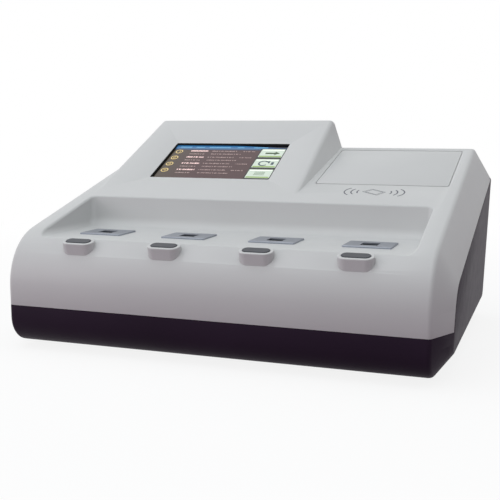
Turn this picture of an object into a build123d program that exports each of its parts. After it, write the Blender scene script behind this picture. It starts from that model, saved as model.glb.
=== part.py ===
"""Bench analyzer with four measuring channels, a screen housing and a strip printer.

The frame is in millimetres: X to the right, Y to the back, Z up. The origin lies on the
table, under the middle of the space that the whole analyzer fills.
"""

from build123d import *
from math import atan2, cos, radians, sin, tan
import os

os.makedirs("parts", exist_ok=True)

# Body: overall sizes
body_depth = 260.0
face_half_width = 163.5
bevel_width = 11.5
bevel_depth = 26.0
bottom_bevel = 14.5
rear_bevel = 5.0
bevel_softening = 4.0
bevel_steps = 3
side_lean = 1.9
foot_height = 4.0
seam_height = 31.3
deck_front_height = 80.9
deck_angle = 15.2
shoulder_radius = 45.0
front_bottom_radius = 21.0
rear_bottom_radius = 12.0
rear_top_radius = 6.0
wall = 2.6
fit_gap = 0.3
pin_gap = 0.05
overrun = 60.0
rear_reach = 3.7

# Work shelf: the notch in the sloping deck
shelf_half_width = 148.6
shelf_back_depth = 104.1
shelf_height = 83.8
shelf_back_lean = 4.0
shelf_back_radius = 9.0
shelf_corner_radius = 5.0
shelf_edge_radius = 2.0

# Screen housing
housing_crease_depth = 124.5
housing_angle = 25.3
housing_right_foot = 33.7
housing_left_foot = -153.4
housing_side_lean = 18.6
housing_side_yaw = 7.5
housing_ridge_radius = 5.5
housing_edge_radius = 5.0

# Screen
screen_center_x = -55.5
screen_width = 114.2
screen_height = 68.3
screen_low_edge = 23.3
screen_corner_radius = 1.5
gasket_margin = 5.0
gasket_thickness = 2.4
glass_thickness = 1.8
module_thickness = 5.5
bracket_thickness = 1.2
bracket_margin = 8.0
display_post_diameter = 7.0

# Channels
channel_count = 4
channel_spacing = 72.6
channel_middle_x = 1.0
port_depth = 59.0
plate_width = 36.3
plate_length = 28.8
plate_thickness = 1.2
plate_corner_radius = 1.2
cuvette_size = 12.8
cuvette_corner_radius = 0.8
well_floor_height = 46.0
block_width = 32.0
block_length = 36.0
neck_width = 24.0
neck_length = 20.0
chassis_height = 36.0
chassis_thickness = 1.5
chassis_half_width = 142.0
chassis_front_margin = 10.0
chassis_lip = 12.0
beam_height = 58.0
beam_diameter = 3.0

# Light source and detector of each channel
lamp_diameter = 7.0
lamp_length = 16.0
lamp_seat = 7.0
lamp_flange_diameter = 9.0
lamp_flange_thickness = 2.0
detector_diameter = 5.0
detector_seat = 6.0
detector_board_width = 20.0
detector_board_height = 26.0
board_thickness = 1.6

# Stirrer of each channel
pocket_diameter = 19.0
pocket_depth = 8.0
rotor_diameter = 16.0
rotor_thickness = 3.5
magnet_diameter = 5.0
magnet_height = 1.0
stirrer_shaft_diameter = 2.0
motor_diameter = 20.0
motor_length = 18.0
motor_boss_diameter = 6.0

# Channel keys
key_depth = 12.5
key_rise = 0.9
key_tilt = 14.0
key_width = 21.0
key_length = 8.2
key_proud = 0.5
key_travel = 1.2
key_gap = 0.3
key_flange = 1.4
key_flange_thickness = 1.2
bezel_rim = 2.6
bezel_cap = 4.0
bezel_height = 14.0
bezel_softening = 0.8
switch_side = 6.0
switch_height = 2.2
key_board_length = 14.0
key_board_shift = 3.0

# Printer and its lid, along the sloping deck
lid_left = 42.0
lid_right = 153.5
lid_front_depth = 152.0
lid_rear_depth = 245.0
lid_gap = 0.5
paper_slot = 1.5
lid_corner_radius = 2.5
hinge_setback = 7.0
hinge_drop = 3.8
hinge_barrel_radius = 3.0
hinge_barrel_length = 6.5
hinge_pin_diameter = 2.5
hinge_rear_gap = 1.3
frame_wall = 2.2
frame_side_margin = 4.2
frame_length = 80.0
frame_depth = 50.0
frame_flange = 11.0
frame_flange_thickness = 2.0
roll_diameter = 38.0
roll_width = 57.0
roll_bore_diameter = 12.7
roll_along = 47.0
hub_length = 5.0
hub_diameter = 12.0
guide_width = 18.0
platen_diameter = 8.0
platen_length = 60.0
platen_shaft_diameter = 3.0
platen_drop = 9.5
platen_gap = 0.5
platen_ear_thickness = 2.4
platen_ear_radius = 4.5
platen_gear_diameter = 12.0
platen_gear_width = 3.0
platen_gear_teeth = 18
head_width = 58.0
head_thickness = 3.2
head_height = 12.0

# Card antenna below the deck
antenna_x = 97.0
antenna_depth = 135.0
antenna_width = 58.0
antenna_length = 28.0

# Case posts and screws
post_diameter = 9.0
post_x = 160.0
post_depths = (56.0, 136.0, 232.0)
screw_diameter = 3.0
screw_head_diameter = 5.6
screw_head_height = 2.2
screw_drive_diameter = 2.6
screw_drive_depth = 1.2
screw_grip = 14.0
foot_diameter = 18.0
foot_spigot_diameter = 6.0
foot_x = 134.0
foot_depths = (46.0, 216.0)
foot_softening = 1.0

# Rear panel and what it carries
panel_thickness = 1.5
panel_half_width = 148.0
panel_low = 18.0
panel_high = 96.0
panel_margin = 8.0
panel_corner_radius = 3.0
fan_x = -104.0
fan_size = 60.0
fan_depth = 15.0
fan_bore = 56.0
fan_corner_radius = 4.0
fan_hole_inset = 5.0
fan_hub_diameter = 26.0
fan_blades = 7
fan_blade_pitch = 38.0
fan_blade_thickness = 1.4
fan_strut_width = 4.0
fan_shaft_diameter = 3.0
grille_slots = 7
grille_slot_width = 3.4
inlet_x = 122.0
inlet_z = 66.0
inlet_width = 27.0
inlet_height = 19.8
inlet_depth = 22.0
inlet_wall = 1.6
inlet_corner = 4.0
inlet_flange = 2.6
inlet_flange_thickness = 2.0
blade_width = 4.0
blade_thickness = 2.0
blade_spacing = 7.0
blade_rise = 4.0
switch_x = 84.0
switch_z = 66.0
switch_width = 12.9
switch_tall = 19.2
switch_depth = 17.0
switch_wall = 1.7
switch_flange = 1.2
switch_flange_thickness = 1.6
rocker_radius = 7.5
rocker_turn = 10.0
rocker_ridge_share = 0.42
rocker_pin_diameter = 1.5
usb_xs = (-46.0, -26.0)
usb_width = 13.2
usb_height = 6.0
usb_length = 14.0
usb_wall = 0.6
tongue_thickness = 1.6
serial_x = 12.0
serial_width = 31.0
serial_height = 12.4
serial_shell_width = 17.0
serial_shell_height = 8.4
serial_depth = 10.0
serial_proud = 5.0
serial_pin_diameter = 1.2

# Boards and supply
main_board_left = -66.0
main_board_right = 62.0
main_board_front_depth = 132.0
main_board_height = 26.0
board_post_diameter = 7.0
board_post_inset = 6.0
supply_left = 80.0
supply_right = 150.0
supply_front_depth = 112.0
supply_rear_depth = 200.0
supply_height = 36.0

front_y = -(body_depth + rear_reach) / 2
rear_y = front_y + body_depth
body_bottom = foot_height
floor_z = body_bottom + wall
seam_z = body_bottom + seam_height
deck_front_z = body_bottom + deck_front_height
deck_rise = tan(radians(deck_angle))
deck_stretch = 1 / cos(radians(deck_angle))
shelf_z = body_bottom + shelf_height


def deck_z(y, drop=0.0):
    """Height of the sloping deck at depth y, or of a face that lies drop below it."""
    return deck_front_z + (y - front_y) * deck_rise - drop * deck_stretch


def side_outline(x, inset, depth):
    """Closed side profile of the body at x: front, sloping deck, rear and bottom.

    A bevel that is depth deep on the front and the deck is shallower below and behind.
    """
    drop = inset + depth
    front = front_y + drop
    rear = rear_y - inset - depth * rear_bevel / bevel_depth
    bottom = body_bottom + inset + depth * bottom_bevel / bevel_depth
    corners = [(front, bottom), (front, deck_z(front, drop)), (rear, deck_z(rear, drop)), (rear, bottom)]
    top_radius = rear_top_radius - inset
    radii = [front_bottom_radius - inset, shoulder_radius - drop, top_radius, rear_bottom_radius - inset]
    with BuildSketch(Plane.YZ.offset(x)) as outline:
        with BuildLine():
            FilletPolyline(*corners, radius=radii, close=True)
        make_face()
    return outline.sketch


def end_plane(inset):
    """Plane of the right side wall, leaning outwards towards the top."""
    lean = radians(side_lean)
    reach = face_half_width + bevel_width - inset
    return Plane(origin=(reach, 0, body_bottom), x_dir=(0, 1, 0), z_dir=(cos(lean), 0, -sin(lean)))


def end_outline(inset, margin=0.0):
    """Profile of the flat side wall inside its bevels, on the side plane, grown by margin."""
    drop = inset + bevel_depth - margin
    front = front_y + drop
    rear = rear_y - inset - rear_bevel + margin
    low = inset + bottom_bevel - margin
    share = (shoulder_radius - bevel_depth) / shoulder_radius
    corners = [
        (front, low),
        (front, deck_z(front, drop) - body_bottom),
        (rear, deck_z(rear, drop) - body_bottom),
        (rear, low),
    ]
    radii = [
        front_bottom_radius * share,
        shoulder_radius - drop,
        rear_top_radius * share,
        rear_bottom_radius * share,
    ]
    with BuildSketch(end_plane(inset)) as outline:
        with BuildLine():
            FilletPolyline(*corners, radius=radii, close=True)
        make_face()
    return outline.sketch


def body_form(inset, softening):
    """Closed form of the body without the screen housing, drawn in by inset on every side.

    The bevel starts on a rounded edge of radius softening, made of short straight steps.
    """
    turn = atan2(bevel_depth, bevel_width)
    half = face_half_width - inset * tan(turn / 2)
    start = half - softening * tan(turn / 2)
    profiles = [side_outline(start, inset, 0)]
    if softening:
        for step in range(1, bevel_steps + 1):
            angle = turn * step / bevel_steps
            profiles.append(side_outline(start + softening * sin(angle), inset, softening * (1 - cos(angle))))
    profiles.append(end_outline(inset))
    with BuildPart() as form:
        extrude(profiles[0], amount=-start)
        loft(sections=[profile.face() for profile in profiles], ruled=True)
        mirror(about=Plane.YZ)
    return form.part


def shelf_form(grow):
    """Space of the work shelf, grown by grow towards the inside of the body."""
    low = shelf_z - grow
    back = front_y + shelf_back_depth + grow
    top = low + overrun
    half = shelf_half_width + grow
    corners = [
        (front_y - overrun, low),
        (back, low),
        (back + tan(radians(shelf_back_lean)) * overrun, top),
        (front_y - overrun, top),
    ]
    with BuildPart() as form:
        with BuildSketch(Plane.YZ.offset(-half)):
            with BuildLine():
                FilletPolyline(*corners, radius=[0, shelf_back_radius + grow, 0, 0], close=True)
            make_face()
        extrude(amount=2 * half)
        ends = form.faces().filter_by(Axis.X).edges()
        below_top = [edge for edge in ends if edge.center().Z < top - fit_gap]
        inner_ends = [edge for edge in below_top if edge.center().Y > front_y - overrun + fit_gap]
        fillet(inner_ends, shelf_corner_radius + grow)
    return form.part


housing_rise = tan(radians(housing_angle))
housing_stretch = 1 / cos(radians(housing_angle))
crease_y = front_y + housing_crease_depth
crease_z = deck_z(crease_y)


def screen_z(y, drop=0.0):
    """Height of the housing's sloping face at depth y, or of a face that lies drop below it."""
    return crease_z + (y - crease_y) * housing_rise - drop * housing_stretch


def housing_side(sign, foot_x, inset):
    """Drafted side plane of the housing, through its foot at the crease."""
    yaw = radians(housing_side_yaw)
    lean = radians(housing_side_lean)
    outward = (sign * cos(yaw) * cos(lean), -sin(yaw) * cos(lean), sin(lean))
    return Plane(origin=(foot_x - sign * inset / cos(lean), crease_y, crease_z), z_dir=outward)


def housing_form(inset, ridge_radius, edge_radius):
    """Screen housing on the deck, drawn in by inset, and reaching through the deck."""
    sink = inset + wall / 2
    toe = crease_y + (inset * housing_stretch - sink * deck_stretch) / (housing_rise - deck_rise)
    rear = rear_y - inset
    spread = body_depth * tan(radians(housing_side_yaw))
    with BuildPart() as form:
        with BuildSketch(Plane.YZ.offset(housing_left_foot - spread)):
            with BuildLine():
                Polyline(
                    (toe, screen_z(toe, inset)),
                    (rear, screen_z(rear, inset)),
                    (rear, deck_z(rear, sink)),
                    close=True,
                )
            make_face()
        extrude(amount=housing_right_foot - housing_left_foot + 2 * spread)
        split(bisect_by=housing_side(1, housing_right_foot, inset), keep=Keep.BOTTOM)
        split(bisect_by=housing_side(-1, housing_left_foot, inset), keep=Keep.BOTTOM)
        fillet(form.faces().sort_by(Axis.Y)[-1].edges().sort_by(Axis.Z)[-1], ridge_radius)
        near_slope = inset * housing_stretch + ridge_radius
        across = form.edges().filter_by(Axis.X, reverse=True)
        slope_sides = [edge for edge in across if edge.center().Z > screen_z(edge.center().Y) - near_slope]
        fillet(slope_sides, edge_radius)
    return form.part


outer_body = body_form(0, bevel_softening)
inner_body = body_form(wall, 0)
outer_shelf = shelf_form(0)
inner_shelf = shelf_form(wall)
outer_housing = housing_form(0, housing_ridge_radius, housing_edge_radius)
inner_housing = housing_form(wall, housing_ridge_radius - wall, housing_edge_radius - wall)

rear_seam_z = deck_z(rear_y - rear_bevel, bevel_depth)
body_half_width = face_half_width + bevel_width


def base_zone(grow):
    """Space that belongs to the base shell: below the seam, the side cheeks and the rear wall."""
    cheek_profile = end_outline(0, grow)
    spread = 2 * (body_half_width + overrun)
    with BuildPart() as zone:
        with BuildSketch(Plane.XY):
            Rectangle(spread, body_depth + 2 * overrun)
        extrude(amount=seam_z + grow)
        with BuildSketch(Plane.XY):
            with Locations((0, rear_y - rear_bevel - 2 * wall - grow)):
                Rectangle(spread, overrun, align=(Align.CENTER, Align.MIN))
        extrude(amount=rear_seam_z + grow)
        extrude(cheek_profile, amount=-wall - grow)
        mirror(about=Plane.YZ)
    return zone.part


def on_deck(y):
    """Distance along the sloping deck, from the front plane to depth y behind it."""
    return y * deck_stretch


deck_plane = Plane(
    origin=(0, front_y, deck_front_z),
    x_dir=(1, 0, 0),
    z_dir=(0, -sin(radians(deck_angle)), cos(radians(deck_angle))),
)
screen_plane = Plane(
    origin=(screen_center_x, crease_y, crease_z),
    x_dir=(1, 0, 0),
    z_dir=(0, -sin(radians(housing_angle)), cos(radians(housing_angle))),
)
screen_middle = screen_low_edge + screen_height / 2
channel_xs = [channel_middle_x + (k - (channel_count - 1) / 2) * channel_spacing for k in range(channel_count)]
port_y = front_y + port_depth
key_y = front_y + key_depth
key_z = shelf_z + key_rise - (key_length / 2 + bezel_rim) * sin(radians(key_tilt))


def key_plane(x):
    """Plane of a key's bezel, tipped forward over the shoulder."""
    tilt = radians(key_tilt)
    return Plane(origin=(x, key_y, key_z), x_dir=(1, 0, 0), z_dir=(0, -sin(tilt), cos(tilt)))


bezel_width = key_width + 2 * bezel_rim
bezel_length = key_length + 2 * bezel_rim
post_spots = [(sign * post_x, front_y + depth) for sign in (-1, 1) for depth in post_depths]
foot_spots = [(sign * foot_x, front_y + depth) for sign in (-1, 1) for depth in foot_depths]
display_half_width = screen_width / 2 + gasket_margin
display_half_height = screen_height / 2 + gasket_margin
display_post_x = display_half_width + display_post_diameter / 2 + fit_gap
display_depth = wall + gasket_thickness + glass_thickness + module_thickness
lid_center_x = (lid_left + lid_right) / 2
lid_width = lid_right - lid_left
lid_front = on_deck(lid_front_depth)
lid_rear = on_deck(lid_rear_depth)
lid_length = lid_rear - lid_front
lid_thickness = wall - fit_gap
hinge_along = lid_rear - hinge_setback
hinge_origin = deck_plane.from_local_coords((0, hinge_along, -hinge_drop))
hinge_boss_length = hinge_barrel_length - lid_gap

screen_depth = wall + gasket_thickness
panel_opening_half = panel_half_width - panel_margin
panel_opening_low = panel_low + panel_margin
panel_opening_high = panel_high - panel_margin
rear_plane = Plane(origin=(0, rear_y, 0), x_dir=(-1, 0, 0), z_dir=(0, 1, 0))
panel_middle_z = (panel_low + panel_high) / 2
panel_screw_spots = [
    (x, z)
    for x in (-panel_half_width + panel_margin / 2, 0, panel_half_width - panel_margin / 2)
    for z in (panel_low + panel_margin / 2, panel_high - panel_margin / 2)
]
block_bottom = body_bottom + chassis_height
plate_bottom = shelf_z
well_floor = body_bottom + well_floor_height
beam_z = body_bottom + beam_height
chassis_front = front_y + wall + chassis_front_margin
chassis_rear = port_y + block_length / 2 + chassis_front_margin
chassis_post_xs = (-chassis_half_width + post_diameter, channel_middle_x, chassis_half_width - post_diameter)
chassis_post_spots = [
    (x, y) for x in chassis_post_xs for y in (chassis_front + post_diameter, chassis_rear - post_diameter / 2)
]
board_front = front_y + main_board_front_depth
board_rear = rear_y - wall - fit_gap
board_x = (main_board_left + main_board_right) / 2
board_y = (board_front + board_rear) / 2
board_width = main_board_right - main_board_left
board_length = board_rear - board_front
board_bottom = body_bottom + main_board_height
board_top = board_bottom + board_thickness
board_post_spots = [
    (board_x + i * (board_width / 2 - board_post_inset), board_y + j * (board_length / 2 - board_post_inset))
    for i in (-1, 1)
    for j in (-1, 1)
]
screw_hole = screw_diameter + 2 * pin_gap
screw_head_hole = screw_head_diameter + 2 * fit_gap
case_screw_head_z = seam_z - screw_grip


def screw_group(plane, spots, head_height, shank):
    """Pan head screws whose heads stand on the plane, their shanks going into it."""
    with BuildPart() as screws:
        with BuildSketch(plane):
            with Locations(*spots):
                Circle(screw_head_diameter / 2)
        extrude(amount=head_height)
        with BuildSketch(plane.offset(head_height)):
            with Locations(*spots):
                RegularPolygon(screw_drive_diameter / 2, 6)
        extrude(amount=-screw_drive_depth, mode=Mode.SUBTRACT)
        with BuildSketch(plane):
            with Locations(*spots):
                Circle(screw_diameter / 2)
        extrude(amount=-shank)
    return screws.part


# Posts that hang inside the upper shell and meet the posts of the base
with BuildPart() as case_bosses:
    with BuildSketch(Plane.XY.offset(seam_z + fit_gap)):
        with Locations(*post_spots):
            Circle(post_diameter / 2)
    extrude(amount=body_depth)
    add(inner_body, mode=Mode.INTERSECT)

# Posts that hold the display bracket behind the housing's sloping face
with BuildPart() as display_bosses:
    with BuildSketch(screen_plane.offset(-wall / 2)):
        with Locations((0, screen_middle)):
            with GridLocations(2 * display_post_x, 2 * display_half_height - display_post_diameter, 2, 2):
                Circle(display_post_diameter / 2)
    extrude(amount=-(display_depth - wall / 2))

# Barrels below the deck that hold the lid's hinge pins
with BuildPart() as hinge_bosses:
    for side, edge_x in ((-1, lid_left), (1, lid_right)):
        boss_end = (edge_x + side * (lid_gap + hinge_boss_length), hinge_origin.Y, hinge_origin.Z)
        with BuildSketch(Plane(origin=boss_end, x_dir=(0, 1, 0), z_dir=(-side, 0, 0))):
            Circle(hinge_barrel_radius)
        extrude(amount=hinge_boss_length)

# Hollow inside of the upper shell
with BuildPart() as shell_hollow:
    add(inner_body)
    add(inner_housing)
    add(inner_shelf, mode=Mode.SUBTRACT)

# Upper shell: front fascia, deck, work shelf and screen housing in one hollow moulding
with BuildPart() as upper_shell:
    add(outer_body)
    add(outer_housing)
    add(outer_shelf, mode=Mode.SUBTRACT)
    shelf_top = [
        edge
        for edge in upper_shell.edges().filter_by(Axis.X)
        if front_y + shelf_back_depth < edge.center().Y < crease_y - wall and edge.center().Z > shelf_z + wall
    ]
    fillet(shelf_top, shelf_edge_radius)
    add(shell_hollow.part, mode=Mode.SUBTRACT)
    add(base_zone(fit_gap), mode=Mode.SUBTRACT)
    add(case_bosses.part)
    add(display_bosses.part)
    add(hinge_bosses.part)
    with BuildSketch(screen_plane.offset(-screen_depth)):
        with Locations((0, screen_middle)):
            RectangleRounded(screen_width, screen_height, screen_corner_radius)
    extrude(amount=2 * screen_depth, mode=Mode.SUBTRACT)
    with BuildSketch(deck_plane.offset(wall)):
        with Locations((lid_center_x, (lid_front - paper_slot + lid_rear + hinge_rear_gap) / 2)):
            RectangleRounded(lid_width + 2 * lid_gap, lid_length + paper_slot + hinge_rear_gap, lid_corner_radius)
    extrude(amount=-2 * wall, mode=Mode.SUBTRACT)
    with BuildSketch(Plane.XY.offset(shelf_z + wall)):
        with Locations(*[(x, port_y) for x in channel_xs]):
            Rectangle(neck_width + 2 * fit_gap, neck_length + 2 * fit_gap)
    extrude(amount=-3 * wall, mode=Mode.SUBTRACT)
    for x in channel_xs:
        with BuildSketch(key_plane(x).offset(bezel_cap)):
            SlotOverall(bezel_width + 2 * pin_gap, bezel_length + 2 * pin_gap)
        extrude(amount=-bezel_cap - bezel_height, mode=Mode.SUBTRACT)
    with BuildSketch(Plane.YZ.offset(lid_left - lid_gap - hinge_barrel_length)):
        with Locations((hinge_origin.Y, hinge_origin.Z)):
            Circle(hinge_pin_diameter / 2 + pin_gap)
    extrude(amount=lid_width + 2 * (lid_gap + hinge_barrel_length), mode=Mode.SUBTRACT)
    with BuildSketch(Plane.XY.offset(seam_z)):
        with Locations(*post_spots):
            Circle(screw_diameter / 2 + pin_gap)
    extrude(amount=screw_grip, mode=Mode.SUBTRACT)
    with BuildSketch(screen_plane.offset(-display_depth)):
        with Locations((0, screen_middle)):
            with GridLocations(2 * display_post_x, 2 * display_half_height - display_post_diameter, 2, 2):
                Circle(screw_diameter / 2 + pin_gap)
    extrude(amount=display_depth - 2 * wall, mode=Mode.SUBTRACT)
upper_shell.part.label = "upper_shell"
export_step(upper_shell.part, "parts/upper_shell.step")

# Posts inside the base: for the upper shell, the chassis, the main board and the rear panel
with BuildPart() as base_posts:
    with BuildSketch(Plane.XY.offset(body_bottom)):
        with Locations(*post_spots):
            Circle(post_diameter / 2)
    extrude(amount=seam_height)
    with BuildSketch(Plane.XY.offset(body_bottom)):
        with Locations(*chassis_post_spots):
            Circle(post_diameter / 2)
    extrude(amount=chassis_height - chassis_thickness)
    with BuildSketch(Plane.XY.offset(body_bottom)):
        with Locations(*board_post_spots):
            Circle(board_post_diameter / 2)
    extrude(amount=main_board_height)
    with BuildSketch(rear_plane.offset(-wall / 2)):
        with Locations(*panel_screw_spots):
            Circle(screw_diameter)
    extrude(amount=-wall / 2 - panel_margin)
    add(outer_body, mode=Mode.INTERSECT)

# Base shell: tray, side cheeks and rear wall, with its posts
with BuildPart() as base_shell:
    add(outer_body)
    add(base_zone(0), mode=Mode.INTERSECT)
    add(inner_body, mode=Mode.SUBTRACT)
    add(base_posts.part)
    with BuildSketch(rear_plane):
        with Locations((0, panel_middle_z)):
            RectangleRounded(
                2 * panel_half_width + 2 * fit_gap,
                panel_high - panel_low + 2 * fit_gap,
                panel_corner_radius + fit_gap,
            )
    extrude(amount=-panel_thickness, mode=Mode.SUBTRACT)
    with BuildSketch(rear_plane):
        with Locations((0, panel_middle_z)):
            RectangleRounded(
                2 * panel_opening_half, panel_opening_high - panel_opening_low, panel_corner_radius
            )
    extrude(amount=-2 * wall, mode=Mode.SUBTRACT)
    with BuildSketch(rear_plane):
        with Locations(*panel_screw_spots):
            Circle(screw_diameter / 2 + pin_gap)
    extrude(amount=-wall - panel_margin, mode=Mode.SUBTRACT)
    with BuildSketch(Plane.XY):
        with Locations(*post_spots):
            Circle(screw_head_hole / 2)
    extrude(amount=case_screw_head_z + screw_head_height, mode=Mode.SUBTRACT)
    with BuildSketch(Plane.XY):
        with Locations(*post_spots):
            Circle(screw_hole / 2)
    extrude(amount=seam_z, mode=Mode.SUBTRACT)
    with BuildSketch(Plane.XY.offset(body_bottom + chassis_height)):
        with Locations(*chassis_post_spots):
            Circle(screw_hole / 2)
    extrude(amount=-screw_grip, mode=Mode.SUBTRACT)
    with BuildSketch(Plane.XY.offset(board_bottom)):
        with Locations(*board_post_spots):
            Circle(screw_hole / 2)
    extrude(amount=-screw_grip, mode=Mode.SUBTRACT)
    with BuildSketch(Plane.XY):
        with Locations(*foot_spots):
            Circle(foot_spigot_diameter / 2 + pin_gap)
    extrude(amount=body_bottom + wall, mode=Mode.SUBTRACT)
base_shell.part.label = "base_shell"
export_step(base_shell.part, "parts/base_shell.step")

# Rear panel: steel sheet in the rear wall's rebate, with the cutouts of what it carries
fan_z = panel_middle_z
fan_hole_reach = fan_size / 2 - fan_hole_inset
fan_screw_spots = [(-fan_x + i * fan_hole_reach, fan_z + j * fan_hole_reach) for i in (-1, 1) for j in (-1, 1)]
usb_z = board_top + usb_height / 2
serial_z = board_top + serial_height / 2
with BuildPart() as rear_panel:
    with BuildSketch(rear_plane):
        with Locations((0, panel_middle_z)):
            RectangleRounded(2 * panel_half_width, panel_high - panel_low, panel_corner_radius)
        with Locations(*panel_screw_spots, *fan_screw_spots):
            Circle(screw_hole / 2, mode=Mode.SUBTRACT)
        with Locations((-inlet_x, inlet_z)):
            Rectangle(inlet_width + 2 * pin_gap, inlet_height + 2 * pin_gap, mode=Mode.SUBTRACT)
        with Locations((-switch_x, switch_z)):
            Rectangle(switch_width + 2 * pin_gap, switch_tall + 2 * pin_gap, mode=Mode.SUBTRACT)
        with Locations(*[(-x, usb_z) for x in usb_xs]):
            Rectangle(usb_width + 2 * fit_gap, usb_height + 2 * fit_gap, mode=Mode.SUBTRACT)
        with Locations((-serial_x, serial_z)):
            Rectangle(serial_shell_width + 2 * fit_gap, serial_shell_height + 2 * fit_gap, mode=Mode.SUBTRACT)
        with BuildSketch(mode=Mode.PRIVATE) as grille:
            with Locations((-fan_x, fan_z)):
                with GridLocations(0, (fan_bore - grille_slot_width) / grille_slots, 1, grille_slots):
                    SlotOverall(fan_bore, grille_slot_width)
            with Locations((-fan_x, fan_z)):
                Circle(fan_bore / 2, mode=Mode.INTERSECT)
        add(grille.sketch, mode=Mode.SUBTRACT)
    extrude(amount=-panel_thickness)
rear_panel.part.label = "rear_panel"
export_step(rear_panel.part, "parts/rear_panel.step")

# Screws of the rear panel and the fan, with their heads outside
panel_screws = screw_group(rear_plane, panel_screw_spots + fan_screw_spots, screw_head_height, panel_margin)
panel_screws.label = "panel_screws"
export_step(panel_screws, "parts/panel_screws.step")

# Fan frame: square frame with a round bore and a hub on four struts
fan_plane = rear_plane.offset(-panel_thickness)
with BuildPart() as fan_frame:
    with BuildSketch(fan_plane):
        with Locations((-fan_x, fan_z)):
            RectangleRounded(fan_size, fan_size, fan_corner_radius)
            Circle(fan_bore / 2, mode=Mode.SUBTRACT)
            with GridLocations(2 * fan_hole_reach, 2 * fan_hole_reach, 2, 2):
                Circle(screw_hole / 2, mode=Mode.SUBTRACT)
    extrude(amount=-fan_depth)
    with BuildSketch(fan_plane.offset(-fan_depth)):
        with Locations((-fan_x, fan_z)):
            Circle(fan_hub_diameter / 2)
            with PolarLocations(0, 2):
                Rectangle(fan_bore + fan_corner_radius, fan_strut_width)
            Rectangle(fan_strut_width, fan_bore + fan_corner_radius)
    extrude(amount=fan_blade_thickness)
    with BuildSketch(fan_plane.offset(-fan_depth)):
        with Locations((-fan_x, fan_z)):
            Circle(fan_shaft_diameter / 2 + pin_gap)
    extrude(amount=fan_blade_thickness, mode=Mode.SUBTRACT)
fan_frame.part.label = "fan_frame"
export_step(fan_frame.part, "parts/fan_frame.step")

# One slanted blade of the fan, above the hub
rotor_room = fan_depth - fan_blade_thickness - 4 * fit_gap
rotor_low = -fan_depth + fan_blade_thickness + 2 * fit_gap
blade_reach = (fan_bore - fan_hub_diameter) / 2 - fan_blade_thickness / 2
blade_start = fan_hub_diameter / 2 - fan_blade_thickness
blade_plane = Plane(
    origin=(fan_x, rear_y - panel_thickness + rotor_low + rotor_room / 2, fan_z + blade_start),
    x_dir=(cos(radians(fan_blade_pitch)), sin(radians(fan_blade_pitch)), 0),
    z_dir=(0, 0, 1),
)
with BuildPart() as fan_blade:
    with BuildSketch(blade_plane):
        Rectangle(rotor_room, fan_blade_thickness)
    extrude(amount=blade_reach)

# Fan rotor: hub with slanted blades and the shaft that turns in the frame's hub
with BuildPart() as fan_rotor:
    with BuildSketch(fan_plane.offset(rotor_low)):
        with Locations((-fan_x, fan_z)):
            Circle(fan_hub_diameter / 2)
    extrude(amount=rotor_room)
    fillet(fan_rotor.edges().sort_by(Axis.Y)[-1], fan_blade_thickness)
    for k in range(fan_blades):
        add(fan_blade.part.rotate(Axis((fan_x, 0, fan_z), (0, 1, 0)), k * 360 / fan_blades))
    with BuildSketch(fan_plane.offset(rotor_low)):
        with Locations((-fan_x, fan_z)):
            Circle(fan_shaft_diameter / 2)
    extrude(amount=-fan_blade_thickness - 2 * fit_gap)
fan_rotor.part.label = "fan_rotor"
export_step(fan_rotor.part, "parts/fan_rotor.step")

# Power inlet: recessed three blade inlet with a flange outside the panel
with BuildPart() as power_inlet:
    with BuildSketch(rear_plane):
        with Locations((-inlet_x, inlet_z)):
            RectangleRounded(inlet_width + 2 * inlet_flange, inlet_height + 2 * inlet_flange, inlet_wall)
    extrude(amount=inlet_flange_thickness)
    with BuildSketch(rear_plane):
        with Locations((-inlet_x, inlet_z)):
            Rectangle(inlet_width, inlet_height)
    extrude(amount=-inlet_depth)
    cavity_half = inlet_width / 2 - inlet_wall
    cavity_top = inlet_height / 2 - inlet_wall
    with BuildSketch(rear_plane.offset(inlet_flange_thickness)):
        with Locations((-inlet_x, inlet_z)):
            Polygon(
                (-cavity_half, -cavity_top),
                (cavity_half, -cavity_top),
                (cavity_half, cavity_top - inlet_corner),
                (cavity_half - inlet_corner, cavity_top),
                (-cavity_half + inlet_corner, cavity_top),
                (-cavity_half, cavity_top - inlet_corner),
                align=None,
            )
    extrude(amount=-inlet_flange_thickness - inlet_depth + 2 * inlet_wall, mode=Mode.SUBTRACT)
    with BuildSketch(rear_plane.offset(-inlet_depth)):
        with Locations(
            (-inlet_x - blade_spacing, inlet_z - blade_rise / 2),
            (-inlet_x, inlet_z + blade_rise / 2),
            (-inlet_x + blade_spacing, inlet_z - blade_rise / 2),
        ):
            Rectangle(blade_thickness, blade_width)
    extrude(amount=inlet_depth - inlet_wall)
power_inlet.part.label = "power_inlet"
export_step(power_inlet.part, "parts/power_inlet.step")

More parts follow.
